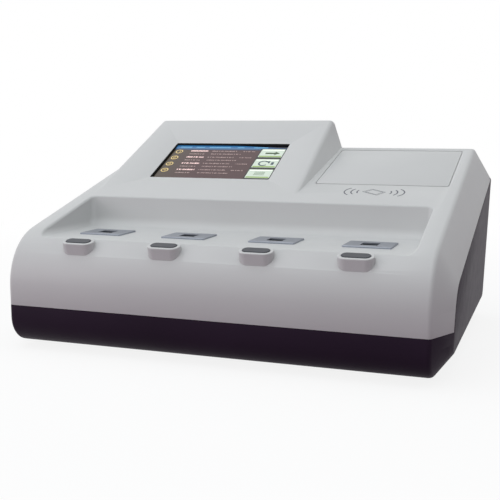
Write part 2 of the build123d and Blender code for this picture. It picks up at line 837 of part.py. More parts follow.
# Switch body: snap-in housing with a bezel and a round-backed bay for the rocker
rocker_y = rear_y + switch_flange_thickness - rocker_radius * rocker_ridge_share
rocker_width = switch_width - 2 * switch_wall - 2 * fit_gap
with BuildPart() as switch_body:
    with BuildSketch(rear_plane):
        with Locations((-switch_x, switch_z)):
            RectangleRounded(switch_width + 2 * switch_flange, switch_tall + 2 * switch_flange, switch_flange)
    extrude(amount=switch_flange_thickness)
    with BuildSketch(rear_plane):
        with Locations((-switch_x, switch_z)):
            Rectangle(switch_width, switch_tall)
    extrude(amount=-switch_depth)
    with BuildSketch(Plane.YZ.offset(switch_x - rocker_width / 2 - fit_gap)):
        with Locations((rocker_y, switch_z)):
            Circle(rocker_radius + fit_gap)
        with Locations((rocker_y, switch_z)):
            Rectangle(overrun, 2 * (rocker_radius + fit_gap), align=(Align.MIN, Align.CENTER))
    extrude(amount=rocker_width + 2 * fit_gap, mode=Mode.SUBTRACT)
    with BuildSketch(Plane.YZ.offset(switch_x - rocker_width / 2 - fit_gap)):
        with Locations((rocker_y, switch_z)):
            Circle(rocker_pin_diameter / 2)
    extrude(amount=rocker_width + 2 * fit_gap)
switch_body.part.label = "switch_body"
export_step(switch_body.part, "parts/switch_body.step")

# Rocker: turns on the body's pin, pressed in at its upper end when it is off
ridge = rocker_radius * rocker_ridge_share
with BuildPart() as switch_rocker:
    rocker_plane = Plane(
        origin=(switch_x - rocker_width / 2, rocker_y, switch_z),
        x_dir=(0, cos(radians(rocker_turn)), sin(radians(rocker_turn))),
        z_dir=(1, 0, 0),
    )
    with BuildSketch(rocker_plane):
        Circle(rocker_radius)
        with BuildLine():
            Polyline(
                (ridge, 0),
                (ridge + rocker_radius * tan(radians(rocker_turn)), rocker_radius),
                (overrun, rocker_radius),
                (overrun, -rocker_radius),
                (ridge + rocker_radius * tan(radians(rocker_turn)), -rocker_radius),
                close=True,
            )
        make_face(mode=Mode.SUBTRACT)
        Circle(rocker_pin_diameter / 2 + pin_gap, mode=Mode.SUBTRACT)
    extrude(amount=rocker_width)
switch_rocker.part.label = "switch_rocker"
export_step(switch_rocker.part, "parts/switch_rocker.step")

# USB ports: two metal shells on the main board, each round its plastic tongue
with BuildPart() as usb_ports:
    with BuildSketch(rear_plane):
        with Locations(*[(-x, usb_z) for x in usb_xs]):
            Rectangle(usb_width, usb_height)
    extrude(amount=-usb_length)
    with BuildSketch(rear_plane):
        with Locations(*[(-x, usb_z) for x in usb_xs]):
            Rectangle(usb_width - 2 * usb_wall, usb_height - 2 * usb_wall)
    extrude(amount=-usb_length + usb_wall, mode=Mode.SUBTRACT)
    with BuildSketch(rear_plane.offset(-usb_length)):
        with Locations(*[(-x, usb_z + tongue_thickness / 2) for x in usb_xs]):
            Rectangle(usb_width - 4 * usb_wall, tongue_thickness)
    extrude(amount=usb_length - usb_wall)
usb_ports.part.label = "usb_ports"
export_step(usb_ports.part, "parts/usb_ports.step")

# Serial port: nine pin socket with its slanted shell through the panel
with BuildPart() as serial_port:
    with BuildSketch(rear_plane.offset(-panel_thickness - fit_gap)):
        with Locations((-serial_x, serial_z)):
            Rectangle(serial_width, serial_height)
    extrude(amount=-serial_depth)
    with BuildSketch(rear_plane.offset(-panel_thickness - fit_gap)):
        with Locations((-serial_x, serial_z)):
            RectangleRounded(serial_shell_width, serial_shell_height, tongue_thickness)
            RectangleRounded(
                serial_shell_width - 2 * usb_wall,
                serial_shell_height - 2 * usb_wall,
                tongue_thickness - usb_wall,
                mode=Mode.SUBTRACT,
            )
    extrude(amount=serial_proud)
    with BuildSketch(rear_plane.offset(-panel_thickness - fit_gap)):
        with Locations((-serial_x, serial_z + serial_pin_diameter)):
            with GridLocations(serial_shell_width / 6, 0, 5, 1):
                Circle(serial_pin_diameter / 2)
        with Locations((-serial_x, serial_z - serial_pin_diameter)):
            with GridLocations(serial_shell_width / 6, 0, 4, 1):
                Circle(serial_pin_diameter / 2)
    extrude(amount=serial_proud - serial_pin_diameter)
serial_port.part.label = "serial_port"
export_step(serial_port.part, "parts/serial_port.step")

# Main board with its chips, its heat sink and a header
with BuildPart() as main_board:
    with BuildSketch(Plane.XY.offset(board_bottom)):
        with Locations((board_x, board_y)):
            RectangleRounded(board_width, board_length, board_thickness)
        with Locations(*board_post_spots):
            Circle(screw_hole / 2, mode=Mode.SUBTRACT)
    extrude(amount=board_thickness)
    with BuildSketch(Plane.XY.offset(board_top)):
        with Locations((board_x - board_width / 5, board_y)):
            Rectangle(board_width / 6, board_width / 6)
        with Locations((board_x + board_width / 8, board_y - board_length / 5)):
            Rectangle(board_width / 8, board_width / 5)
        with Locations((board_x + board_width / 8, board_y + board_length / 8)):
            Rectangle(board_width / 7, board_width / 7)
    extrude(amount=board_thickness)
    with BuildSketch(Plane.XY.offset(board_top + board_thickness)):
        with Locations((board_x - board_width / 5, board_y)):
            with GridLocations(board_width / 30, 0, 5, 1):
                Rectangle(board_width / 60, board_width / 6)
    extrude(amount=usb_height)
    with BuildSketch(Plane.XY.offset(board_top)):
        with Locations((board_x, board_y - board_length / 2 + board_post_inset)):
            Rectangle(board_width / 3, usb_height)
    extrude(amount=usb_height)
main_board.part.label = "main_board"
export_step(main_board.part, "parts/main_board.step")

# Screws of the main board
board_screws = screw_group(
    Plane.XY.offset(board_top), board_post_spots, screw_head_height, screw_grip - board_thickness
)
board_screws.label = "board_screws"
export_step(board_screws, "parts/board_screws.step")

# Power supply: closed sheet case with rows of vent slots in its lid
supply_x = (supply_left + supply_right) / 2
supply_y = front_y + (supply_front_depth + supply_rear_depth) / 2
supply_width = supply_right - supply_left
supply_length = supply_rear_depth - supply_front_depth
with BuildPart() as power_supply:
    with BuildSketch(Plane.XY.offset(floor_z)):
        with Locations((supply_x, supply_y)):
            Rectangle(supply_width, supply_length)
    extrude(amount=supply_height)
    chamfer(power_supply.edges().filter_by(Axis.Z), panel_thickness)
    with BuildSketch(Plane.XY.offset(floor_z + supply_height)):
        with Locations((supply_x, supply_y)):
            with GridLocations(supply_width / 3, supply_length / 12, 2, 9):
                SlotOverall(supply_width / 4, grille_slot_width)
    extrude(amount=-panel_thickness, mode=Mode.SUBTRACT)
power_supply.part.label = "power_supply"
export_step(power_supply.part, "parts/power_supply.step")

# Rubber feet, each with a spigot in the floor of the base
with BuildPart() as feet:
    with BuildSketch(Plane.XY):
        with Locations(*foot_spots):
            Circle(foot_diameter / 2)
    extrude(amount=foot_height)
    chamfer(feet.edges().group_by(Axis.Z)[0], foot_softening)
    with BuildSketch(Plane.XY.offset(foot_height)):
        with Locations(*foot_spots):
            Circle(foot_spigot_diameter / 2)
    extrude(amount=wall)
feet.part.label = "feet"
export_step(feet.part, "parts/feet.step")

# Case screws, driven from below through the base posts into the posts of the upper shell
case_screws = screw_group(
    Plane(origin=(0, 0, case_screw_head_z + screw_head_height), x_dir=(1, 0, 0), z_dir=(0, 0, -1)),
    [(x, -y) for x, y in post_spots],
    screw_head_height,
    2 * screw_grip - 2 * screw_head_height,
)
case_screws.label = "case_screws"
export_step(case_screws, "parts/case_screws.step")

# Screen gasket: dark frame between the opening and the touch panel
with BuildPart() as screen_gasket:
    with BuildSketch(screen_plane.offset(-wall)):
        with Locations((0, screen_middle)):
            RectangleRounded(2 * display_half_width, 2 * display_half_height, 2 * screen_corner_radius)
            RectangleRounded(screen_width, screen_height, screen_corner_radius, mode=Mode.SUBTRACT)
    extrude(amount=-gasket_thickness)
screen_gasket.part.label = "screen_gasket"
export_step(screen_gasket.part, "parts/screen_gasket.step")

# Touch panel: glass under the gasket
with BuildPart() as touch_panel:
    with BuildSketch(screen_plane.offset(-screen_depth)):
        with Locations((0, screen_middle)):
            RectangleRounded(2 * display_half_width, 2 * display_half_height, 2 * screen_corner_radius)
    extrude(amount=-glass_thickness)
touch_panel.part.label = "touch_panel"
export_step(touch_panel.part, "parts/touch_panel.step")

# Display module: flat metal box behind the glass, with a shallow step round its back
with BuildPart() as display_module:
    with BuildSketch(screen_plane.offset(-screen_depth - glass_thickness)):
        with Locations((0, screen_middle)):
            RectangleRounded(2 * display_half_width, 2 * display_half_height, screen_corner_radius)
    extrude(amount=-module_thickness / 2)
    with BuildSketch(screen_plane.offset(-screen_depth - glass_thickness - module_thickness / 2)):
        with Locations((0, screen_middle)):
            RectangleRounded(
                2 * display_half_width - gasket_margin,
                2 * display_half_height - gasket_margin,
                screen_corner_radius,
            )
    extrude(amount=-module_thickness / 2)
display_module.part.label = "display_module"
export_step(display_module.part, "parts/display_module.step")

# Display bracket: sheet plate screwed to the four posts, pressing the module to the glass
with BuildPart() as display_bracket:
    with BuildSketch(screen_plane.offset(-display_depth)):
        with Locations((0, screen_middle)):
            RectangleRounded(
                2 * display_post_x + display_post_diameter, 2 * display_half_height, bracket_margin / 2
            )
            with GridLocations(2 * display_post_x, 2 * display_half_height - display_post_diameter, 2, 2):
                Circle(screw_hole / 2, mode=Mode.SUBTRACT)
    extrude(amount=-bracket_thickness)
display_bracket.part.label = "display_bracket"
export_step(display_bracket.part, "parts/display_bracket.step")

# Screws of the display bracket
bracket_back = Plane(
    origin=screen_plane.from_local_coords((0, screen_middle, -display_depth - bracket_thickness)),
    x_dir=(1, 0, 0),
    z_dir=-screen_plane.z_dir,
)
bracket_spots = [
    (i * display_post_x, j * (display_half_height - display_post_diameter / 2)) for i in (-1, 1) for j in (-1, 1)
]
display_screws = screw_group(bracket_back, bracket_spots, screw_head_height, display_depth - 3 * wall)
display_screws.label = "display_screws"
export_step(display_screws, "parts/display_screws.step")

# Card antenna: coil board under the deck
with BuildPart() as card_antenna:
    with BuildSketch(deck_plane.offset(-wall)):
        with Locations((antenna_x, on_deck(antenna_depth))):
            RectangleRounded(antenna_width, antenna_length, board_thickness)
            Rectangle(antenna_width / 2, antenna_length / 2, mode=Mode.SUBTRACT)
    extrude(amount=-board_thickness)
card_antenna.part.label = "card_antenna"
export_step(card_antenna.part, "parts/card_antenna.step")

# Chassis plate: folded sheet that carries the measuring blocks
with BuildPart() as chassis_plate:
    with BuildSketch(Plane.XY.offset(block_bottom - chassis_thickness)):
        with Locations((channel_middle_x, (chassis_front + chassis_rear) / 2)):
            Rectangle(2 * chassis_half_width, chassis_rear - chassis_front)
        with Locations(*[(x, port_y) for x in channel_xs]):
            Circle(motor_boss_diameter / 2 + fit_gap, mode=Mode.SUBTRACT)
        with Locations(*chassis_post_spots):
            Circle(screw_hole / 2, mode=Mode.SUBTRACT)
    extrude(amount=chassis_thickness)
    with BuildSketch(Plane.XY.offset(block_bottom)):
        with Locations((channel_middle_x, chassis_rear)):
            Rectangle(2 * chassis_half_width, chassis_thickness, align=(Align.CENTER, Align.MAX))
    extrude(amount=chassis_lip)
chassis_plate.part.label = "chassis_plate"
export_step(chassis_plate.part, "parts/chassis_plate.step")

# Screws of the chassis plate
chassis_screws = screw_group(
    Plane.XY.offset(block_bottom), chassis_post_spots, screw_head_height, screw_grip - chassis_thickness
)
chassis_screws.label = "chassis_screws"
export_step(chassis_screws, "parts/chassis_screws.step")


def port_plate(x):
    """Flat cover plate on the shelf, with the square port of the cuvette well."""
    with BuildPart() as plate:
        with BuildSketch(Plane.XY.offset(plate_bottom)):
            with Locations((x, port_y)):
                RectangleRounded(plate_width, plate_length, plate_corner_radius)
                RectangleRounded(cuvette_size, cuvette_size, cuvette_corner_radius, mode=Mode.SUBTRACT)
        extrude(amount=plate_thickness)
        chamfer(plate.faces().sort_by(Axis.Z)[-1].outer_wire().edges(), plate_thickness / 4)
    return plate.part


def cuvette_block(x):
    """Measuring block with its neck, square well, beam bores and the pocket of the stirrer."""
    with BuildPart() as block:
        with BuildSketch(Plane.XY.offset(block_bottom)):
            with Locations((x, port_y)):
                RectangleRounded(block_width, block_length, plate_corner_radius)
        extrude(amount=shelf_z - wall - block_bottom)
        with BuildSketch(Plane.XY.offset(shelf_z - wall)):
            with Locations((x, port_y)):
                RectangleRounded(neck_width, neck_length, plate_corner_radius)
        extrude(amount=wall)
        with BuildSketch(Plane.XY.offset(shelf_z)):
            with Locations((x, port_y)):
                RectangleRounded(cuvette_size, cuvette_size, cuvette_corner_radius)
        extrude(amount=well_floor - shelf_z, mode=Mode.SUBTRACT)
        with BuildSketch(Plane.XY.offset(block_bottom)):
            with Locations((x, port_y)):
                Circle(pocket_diameter / 2)
        extrude(amount=pocket_depth, mode=Mode.SUBTRACT)
        with BuildSketch(Plane.YZ.offset(x - block_width / 2)):
            with Locations((port_y, beam_z)):
                Circle(lamp_diameter / 2 + pin_gap)
        extrude(amount=lamp_seat, mode=Mode.SUBTRACT)
        with BuildSketch(Plane.YZ.offset(x - block_width / 2)):
            with Locations((port_y, beam_z)):
                Circle(beam_diameter / 2)
        extrude(amount=block_width / 2, mode=Mode.SUBTRACT)
        rear_face = Plane(origin=(x, port_y + block_length / 2, beam_z), x_dir=(-1, 0, 0), z_dir=(0, 1, 0))
        with BuildSketch(rear_face):
            Circle(detector_diameter / 2 + pin_gap)
        extrude(amount=-detector_seat, mode=Mode.SUBTRACT)
        with BuildSketch(rear_face):
            Circle(beam_diameter / 2)
        extrude(amount=-block_length / 2, mode=Mode.SUBTRACT)
    return block.part


def light_source(x):
    """Lamp module in the side bore of the block, with a flange against the block."""
    with BuildPart() as lamp:
        with BuildSketch(Plane.YZ.offset(x - block_width / 2)):
            with Locations((port_y, beam_z)):
                Circle(lamp_diameter / 2)
        extrude(amount=lamp_seat - fit_gap)
        with BuildSketch(Plane.YZ.offset(x - block_width / 2)):
            with Locations((port_y, beam_z)):
                Circle(lamp_flange_diameter / 2)
        extrude(amount=-lamp_flange_thickness)
        with BuildSketch(Plane.YZ.offset(x - block_width / 2)):
            with Locations((port_y, beam_z)):
                Circle(lamp_diameter / 2)
        extrude(amount=lamp_seat - lamp_length)
    return lamp.part


def stirrer_motor(x):
    """Round motor under the chassis plate, with a boss up to the block and a shaft bore."""
    with BuildPart() as motor:
        with BuildSketch(Plane.XY.offset(block_bottom - chassis_thickness)):
            with Locations((x, port_y)):
                Circle(motor_diameter / 2)
        extrude(amount=-motor_length)
        chamfer(motor.edges().group_by(Axis.Z)[0], foot_softening)
        with BuildSketch(Plane.XY.offset(block_bottom - chassis_thickness)):
            with Locations((x, port_y)):
                Circle(motor_boss_diameter / 2)
        extrude(amount=chassis_thickness)
        with BuildSketch(Plane.XY.offset(block_bottom)):
            with Locations((x, port_y)):
                Circle(stirrer_shaft_diameter / 2 + pin_gap)
        extrude(amount=-motor_length / 2, mode=Mode.SUBTRACT)
    return motor.part


def stirrer_rotor(x):
    """Disc with two magnets under the well, on the motor's shaft."""
    rotor_low = block_bottom + 4 * fit_gap
    with BuildPart() as rotor:
        with BuildSketch(Plane.XY.offset(rotor_low)):
            with Locations((x, port_y)):
                Circle(rotor_diameter / 2)
        extrude(amount=rotor_thickness)
        with BuildSketch(Plane.XY.offset(rotor_low + rotor_thickness)):
            with Locations((x, port_y)):
                with GridLocations(rotor_diameter / 2, 0, 2, 1):
                    Circle(magnet_diameter / 2)
        extrude(amount=magnet_height)
        with BuildSketch(Plane.XY.offset(rotor_low)):
            with Locations((x, port_y)):
                Circle(stirrer_shaft_diameter / 2)
        extrude(amount=block_bottom - motor_length / 2 + fit_gap - rotor_low)
    return rotor.part


def key_bezel(x):
    """Raised rim that carries a key at the front of the shelf, down to the key board."""
    with BuildPart() as bezel:
        with BuildSketch(key_plane(x)):
            SlotOverall(bezel_width, bezel_length)
        extrude(amount=-bezel_height)
        fillet(bezel.faces().sort_by(Axis.Z)[-1].edges(), bezel_softening)
        with BuildSketch(key_plane(x)):
            SlotOverall(key_width + 2 * key_gap, key_length + 2 * key_gap)
        extrude(amount=-bezel_cap, mode=Mode.SUBTRACT)
        with BuildSketch(key_plane(x).offset(-bezel_cap)):
            SlotOverall(key_width + key_flange + 2 * key_gap, key_length + key_flange + 2 * key_gap)
        extrude(amount=bezel_cap - bezel_height, mode=Mode.SUBTRACT)
    return bezel.part


key_stem_length = bezel_height - bezel_cap - key_flange_thickness - switch_height - key_travel - 2 * fit_gap


def channel_key(x):
    """Pill shaped key with a hidden flange under the bezel's cap and a stem above its switch."""
    with BuildPart() as key:
        with BuildSketch(key_plane(x).offset(key_proud)):
            SlotOverall(key_width, key_length)
        extrude(amount=-key_proud - bezel_cap - fit_gap)
        fillet(key.faces().sort_by(Axis.Z)[-1].edges(), key_proud)
        with BuildSketch(key_plane(x).offset(-bezel_cap - fit_gap)):
            SlotOverall(key_width + key_flange, key_length + key_flange)
        extrude(amount=-key_flange_thickness)
        with BuildSketch(key_plane(x).offset(-bezel_cap - fit_gap - key_flange_thickness)):
            Circle(switch_side / 4)
        extrude(amount=-key_stem_length)
    return key.part


for number, x in enumerate(channel_xs, start=1):
    makers = (port_plate, cuvette_block, light_source, stirrer_motor, stirrer_rotor, key_bezel, channel_key)
    for make in makers:
        piece = make(x)
        piece.label = f"{make.__name__}_{number}"
        export_step(piece, f"parts/{piece.label}.step")

# Detector boards: one behind each block, with its photodiode in the block's rear bore
detector_plane = Plane(origin=(0, port_y + block_length / 2, 0), x_dir=(-1, 0, 0), z_dir=(0, 1, 0))
with BuildPart() as detector_boards:
    with BuildSketch(detector_plane):
        with Locations(*[(-x, beam_z) for x in channel_xs]):
            Rectangle(detector_board_width, detector_board_height)
    extrude(amount=board_thickness)
    with BuildSketch(detector_plane):
        with Locations(*[(-x, beam_z) for x in channel_xs]):
            Circle(detector_diameter / 2)
    extrude(amount=-detector_seat + fit_gap)
detector_boards.part.label = "detector_boards"
export_step(detector_boards.part, "parts/detector_boards.step")

# Key board: strip under the bezels with a switch below each key
key_board_plane = key_plane(channel_middle_x).offset(-bezel_height)
with BuildPart() as key_board:
    with BuildSketch(key_board_plane):
        with Locations((0, key_board_shift)):
            RectangleRounded(
                (channel_count - 1) * channel_spacing + 2 * bezel_width, key_board_length, board_thickness
            )
    extrude(amount=-board_thickness)
    with BuildSketch(key_board_plane):
        with GridLocations(channel_spacing, 0, channel_count, 1):
            Rectangle(switch_side, switch_side)
    extrude(amount=switch_height)
key_board.part.label = "key_board"
export_step(key_board.part, "parts/key_board.step")

# Printer lid: flush plate with hinge barrels at its rear corners and ears for the platen
frame_left = lid_left + frame_side_margin
frame_right = lid_right - frame_side_margin
frame_front = lid_front + frame_wall / 2
platen_along = frame_front + frame_wall + head_thickness + platen_gap + platen_diameter / 2
platen_origin = deck_plane.from_local_coords((lid_center_x, platen_along, -platen_drop))
ear_inner = platen_length / 2 + fit_gap
deck_run = (0, cos(radians(deck_angle)), sin(radians(deck_angle)))
with BuildPart() as printer_lid:
    with BuildSketch(deck_plane):
        with Locations((lid_center_x, (lid_front + lid_rear) / 2)):
            RectangleRounded(lid_width, lid_length, lid_corner_radius)
    extrude(amount=-lid_thickness)
    for side, edge_x in ((-1, lid_left), (1, lid_right)):
        barrel_end = (edge_x - side * fit_gap, hinge_origin.Y, hinge_origin.Z)
        with BuildSketch(Plane(origin=barrel_end, x_dir=(0, 1, 0), z_dir=(side, 0, 0))):
            Circle(hinge_barrel_radius)
        extrude(amount=-hinge_barrel_length)
    for side in (-1, 1):
        ear_x = lid_center_x + side * ear_inner
        with BuildSketch(Plane(origin=(ear_x, platen_origin.Y, platen_origin.Z), x_dir=deck_run, z_dir=(1, 0, 0))):
            Circle(platen_ear_radius)
            Rectangle(2 * platen_ear_radius, platen_drop - lid_thickness / 2, align=(Align.CENTER, Align.MIN))
        extrude(amount=side * platen_ear_thickness)
    with BuildSketch(Plane.YZ.offset(lid_left)):
        with Locations((hinge_origin.Y, hinge_origin.Z)):
            Circle(hinge_pin_diameter / 2 + pin_gap)
    extrude(amount=lid_width, mode=Mode.SUBTRACT)
    with BuildSketch(Plane.YZ.offset(lid_left)):
        with Locations((platen_origin.Y, platen_origin.Z)):
            Circle(platen_shaft_diameter / 2 + pin_gap)
    extrude(amount=lid_width, mode=Mode.SUBTRACT)
printer_lid.part.label = "printer_lid"
export_step(printer_lid.part, "parts/printer_lid.step")

# Hinge pins: a short pin on each side, through the shell's barrel into the lid's
pin_length = 2 * hinge_barrel_length - 2 * lid_gap
with BuildPart() as hinge_pins:
    for side, edge_x in ((-1, lid_left), (1, lid_right)):
        pin_end = (edge_x + side * (lid_gap + hinge_boss_length), hinge_origin.Y, hinge_origin.Z)
        with BuildSketch(Plane(origin=pin_end, x_dir=(0, 1, 0), z_dir=(-side, 0, 0))):
            Circle(hinge_pin_diameter / 2)
        extrude(amount=pin_length)
hinge_pins.part.label = "hinge_pins"
export_step(hinge_pins.part, "parts/hinge_pins.step")

# Platen roller: rubber roller on its shaft, with the drive gear at its right end
platen_plane = Plane(origin=platen_origin, x_dir=(0, 1, 0), z_dir=(1, 0, 0))
shaft_half = ear_inner + platen_ear_thickness
with BuildPart() as platen_roller:
    with BuildSketch(platen_plane.offset(-platen_length / 2)):
        Circle(platen_diameter / 2)
    extrude(amount=platen_length)
    with BuildSketch(platen_plane.offset(-shaft_half - platen_ear_thickness)):
        Circle(platen_shaft_diameter / 2)
    extrude(amount=2 * shaft_half + 2 * platen_ear_thickness)
    with BuildSketch(platen_plane.offset(shaft_half + fit_gap)):
        Circle(platen_gear_diameter / 2 - usb_wall)
        with PolarLocations(platen_gear_diameter / 2 - usb_wall, platen_gear_teeth):
            Rectangle(2 * usb_wall, 2 * usb_wall)
    extrude(amount=platen_gear_width)
platen_roller.part.label = "platen_roller"
export_step(platen_roller.part, "parts/platen_roller.step")

# Printer frame: tub below the deck with flanges, roll guides with hubs and the head's bracket
frame_plane = deck_plane.offset(-wall)
frame_width = frame_right - frame_left
roll_along_deck = frame_front + roll_along
roll_drop = frame_depth - frame_wall - roll_diameter / 2 - fit_gap
roll_origin = deck_plane.from_local_coords((lid_center_x, roll_along_deck, -wall - roll_drop))
roll_plane = Plane(origin=roll_origin, x_dir=deck_run, z_dir=(1, 0, 0))
guide_inner = roll_width / 2 + fit_gap
with BuildPart() as printer_frame:
    with BuildSketch(frame_plane):
        with Locations((lid_center_x, frame_front + frame_length / 2)):
            Rectangle(frame_width, frame_length)
    extrude(amount=-frame_depth)
    with BuildSketch(frame_plane):
        with Locations((lid_center_x, frame_front + frame_length / 2)):
            Rectangle(frame_width + 2 * frame_flange, frame_length - 2 * frame_flange)
    extrude(amount=-frame_flange_thickness)
    with BuildSketch(frame_plane):
        with Locations((lid_center_x, frame_front + frame_length / 2)):
            Rectangle(frame_width - 2 * frame_wall, frame_length - 2 * frame_wall)
    extrude(amount=frame_wall - frame_depth, mode=Mode.SUBTRACT)
    for side in (-1, 1):
        with BuildSketch(roll_plane.offset(side * guide_inner)):
            with Locations((0, -roll_diameter / 2 - fit_gap)):
                Rectangle(guide_width, roll_diameter / 2 + hub_diameter, align=(Align.CENTER, Align.MIN))
        extrude(amount=side * frame_wall)
        with BuildSketch(roll_plane.offset(side * guide_inner)):
            Circle(hub_diameter / 2)
        extrude(amount=-side * hub_length)
    bracket_low = platen_drop - wall + head_height
    with BuildSketch(frame_plane.offset(-bracket_low)):
        with Locations((lid_center_x, frame_front + frame_wall)):
            Rectangle(head_width, head_thickness, align=(Align.CENTER, Align.MIN))
    extrude(amount=bracket_low - frame_depth)
printer_frame.part.label = "printer_frame"
export_step(printer_frame.part, "parts/printer_frame.step")

# Print head: strip that stands before the platen, its upper edge eased for the paper
with BuildPart() as print_head:
    with BuildSketch(frame_plane.offset(-bracket_low)):
        with Locations((lid_center_x, frame_front + frame_wall)):
            Rectangle(head_width, head_thickness, align=(Align.CENTER, Align.MIN))
    extrude(amount=bracket_low - frame_flange_thickness)
    chamfer(print_head.edges().filter_by(Axis.X).sort_by(Axis.Z)[-1], head_thickness / 4)
print_head.part.label = "print_head"
export_step(print_head.part, "parts/print_head.step")

# Paper roll: wound paper on a core that turns on the frame's hubs
with BuildPart() as paper_roll:
    with BuildSketch(roll_plane.offset(-roll_width / 2)):
        Circle(roll_diameter / 2)
        Circle(roll_bore_diameter / 2, mode=Mode.SUBTRACT)
    extrude(amount=roll_width)
paper_roll.part.label = "paper_roll"
export_step(paper_roll.part, "parts/paper_roll.step")
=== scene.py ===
"""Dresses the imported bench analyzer: finishes, screen picture, print and studio.

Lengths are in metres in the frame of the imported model: X to the right, Y to the back, Z up.
The drawings of the picture, the card symbol and the marks are in millimetres on their plane.
"""

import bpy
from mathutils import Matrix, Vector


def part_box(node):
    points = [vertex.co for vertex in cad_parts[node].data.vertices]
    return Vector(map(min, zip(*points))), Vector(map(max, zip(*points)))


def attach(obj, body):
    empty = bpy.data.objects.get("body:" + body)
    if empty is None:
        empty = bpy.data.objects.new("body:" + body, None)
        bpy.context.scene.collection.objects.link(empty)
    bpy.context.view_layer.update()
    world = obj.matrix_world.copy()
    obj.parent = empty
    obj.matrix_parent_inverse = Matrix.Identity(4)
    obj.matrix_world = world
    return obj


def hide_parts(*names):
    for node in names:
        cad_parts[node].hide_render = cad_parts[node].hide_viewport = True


bl_info = {
    "name": "Bench analyzer dressing",
    "version": (1, 0, 0),
    "blender": (4, 5, 0),
    "location": "3D View > Sidebar > Analyzer",
    "description": "Gives the packed analyzer its finishes, its screen picture and a small studio",
    "category": "Object",
}

from math import atan2, cos, radians, sin, tan

import bmesh
import bpy
from mathutils import Matrix, Vector

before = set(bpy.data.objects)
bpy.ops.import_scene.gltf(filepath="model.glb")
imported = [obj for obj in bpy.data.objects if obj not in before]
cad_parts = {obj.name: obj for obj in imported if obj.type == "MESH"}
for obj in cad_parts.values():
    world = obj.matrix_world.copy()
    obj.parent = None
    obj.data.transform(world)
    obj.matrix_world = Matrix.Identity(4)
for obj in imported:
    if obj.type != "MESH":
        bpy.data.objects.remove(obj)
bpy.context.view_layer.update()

MM = 0.001
CHANNELS = (1, 2, 3, 4)
BODY = "case"

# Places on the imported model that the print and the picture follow
front_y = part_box("upper_shell")[0].y
rear_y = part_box("rear_panel")[1].y
deck_front_z = 84.9 * MM
deck_angle = radians(15.2)
crease_depth = 124.5 * MM
screen_angle = radians(25.3)
glass_depth = 5.0 * MM
window_height = 3.0 * MM

# Left, right, low and high edge in millimetres: the opening on the plane of the glass, and
# the window on the plane of the picture
OPENING = (-113.5, 2.5, 22.4, 92.5)
WINDOW = (-112.9, 1.1, 27.8, 95.9)


def linear(code):
    """Linear colour of an sRGB hex code such as #C8CACE."""
    shades = [int(code[i : i + 2], 16) / 255 for i in (1, 3, 5)]
    return tuple(s / 12.92 if s <= 0.04045 else ((s + 0.055) / 1.055) ** 2.4 for s in shades)


def opaque(colour):
    """The colour with alpha 1, as a shader socket takes it."""
    return (*colour[:3], 1.0)


def blend(first, second, share):
    """The first colour with that share of the second in it."""
    return [a * (1 - share) + b * share for a, b in zip(first, second)]


def sloping(x, depth, height, angle):
    """Matrix of a plane that rises to the back: local X to the right, local Y up the slope."""
    place = Matrix.Translation((x, front_y + depth, height))
    return place @ Matrix.Rotation(angle, 4, "X")


deck = sloping(0, 0, deck_front_z, deck_angle)
crease_height = deck_front_z + crease_depth * tan(deck_angle)
housing = sloping(0, crease_depth, crease_height, screen_angle)
glass = housing @ Matrix.Translation((0, 0, -glass_depth))
# The window stands over the glass; the shift keeps its picture in place as the camera sees it
picture = glass @ Matrix.Translation((0.4 * MM, -4.4 * MM, window_height))


def colour_setting(name, words, code):
    """A colour that a user may change."""
    return bpy.props.FloatVectorProperty(
        name=name,
        description=words,
        subtype="COLOR",
        size=3,
        min=0.0,
        max=1.0,
        default=linear(code),
    )


def size_setting(name, words, size, unit="LENGTH", digits=5):
    """A length, or another number with its unit, that a user may change."""
    return bpy.props.FloatProperty(
        name=name, description=words, unit=unit, min=0.0, precision=digits, default=size
    )


class AnalyzerColours(bpy.types.PropertyGroup):
    """Colours of the analyzer's finishes."""

    shell: colour_setting("Shell", "Upper shell, lid and key rims", "#CFD0D0")
    base: colour_setting("Base", "Base shell with its side cheeks", "#2A1E2D")
    port_plate: colour_setting("Port plates", "Anodised plates round the wells", "#979CA6")
    well: colour_setting("Wells", "Anodised measuring blocks", "#15161A")
    key: colour_setting("Keys", "Tops of the channel keys", "#484A50")
    symbol: colour_setting("Card symbol", "Ink of the card symbol", "#5F616B")
    picture: colour_setting("Picture", "Ground of the screen picture", "#80575B")
    title: colour_setting("Title bar", "Bar along the top of the picture", "#6FA6C6")
    button: colour_setting("Buttons", "Buttons at the right of the picture", "#DDE3DC")
    writing: colour_setting("Writing", "Lines of writing on the picture", "#F6E6E4")
    panel: colour_setting("Rear panel", "Paint of the rear panel", "#3A3A3F")
    board: colour_setting("Boards", "Solder resist of the boards", "#1C5A3C")


class AnalyzerSizes(bpy.types.PropertyGroup):
    """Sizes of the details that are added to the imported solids."""

    edge: size_setting("Edge", "Softening of the moulded edges", 0.35 * MM)
    print_lift: size_setting("Print lift", "Height of the print over its ground", 0.04 * MM)
    symbol_stroke: size_setting("Symbol stroke", "Width of the card symbol's lines", 1.1 * MM)
    row_pitch: size_setting("Row pitch", "Distance between the rows of the picture", 12.3 * MM)
    grain: size_setting("Grain", "Grain of the moulded surfaces", 0.5 * MM)


class StudioSettings(bpy.types.PropertyGroup):
    """Lamps, room light and camera of the studio."""

    top_power: size_setting("Top lamp", "Power of the soft lamp above", 6.5, "POWER", 2)
    side_power: size_setting("Side lamp", "Power of the lamp at the left", 3.0, "POWER", 2)
    ambient: size_setting("Ambient", "Strength of the room light", 0.56, "NONE", 2)
    lens: size_setting("Lens", "Focal length of the camera", 61.84, "CAMERA", 2)


# ----------------------------------------
# Small helpers for trees, meshes and pieces
# ----------------------------------------


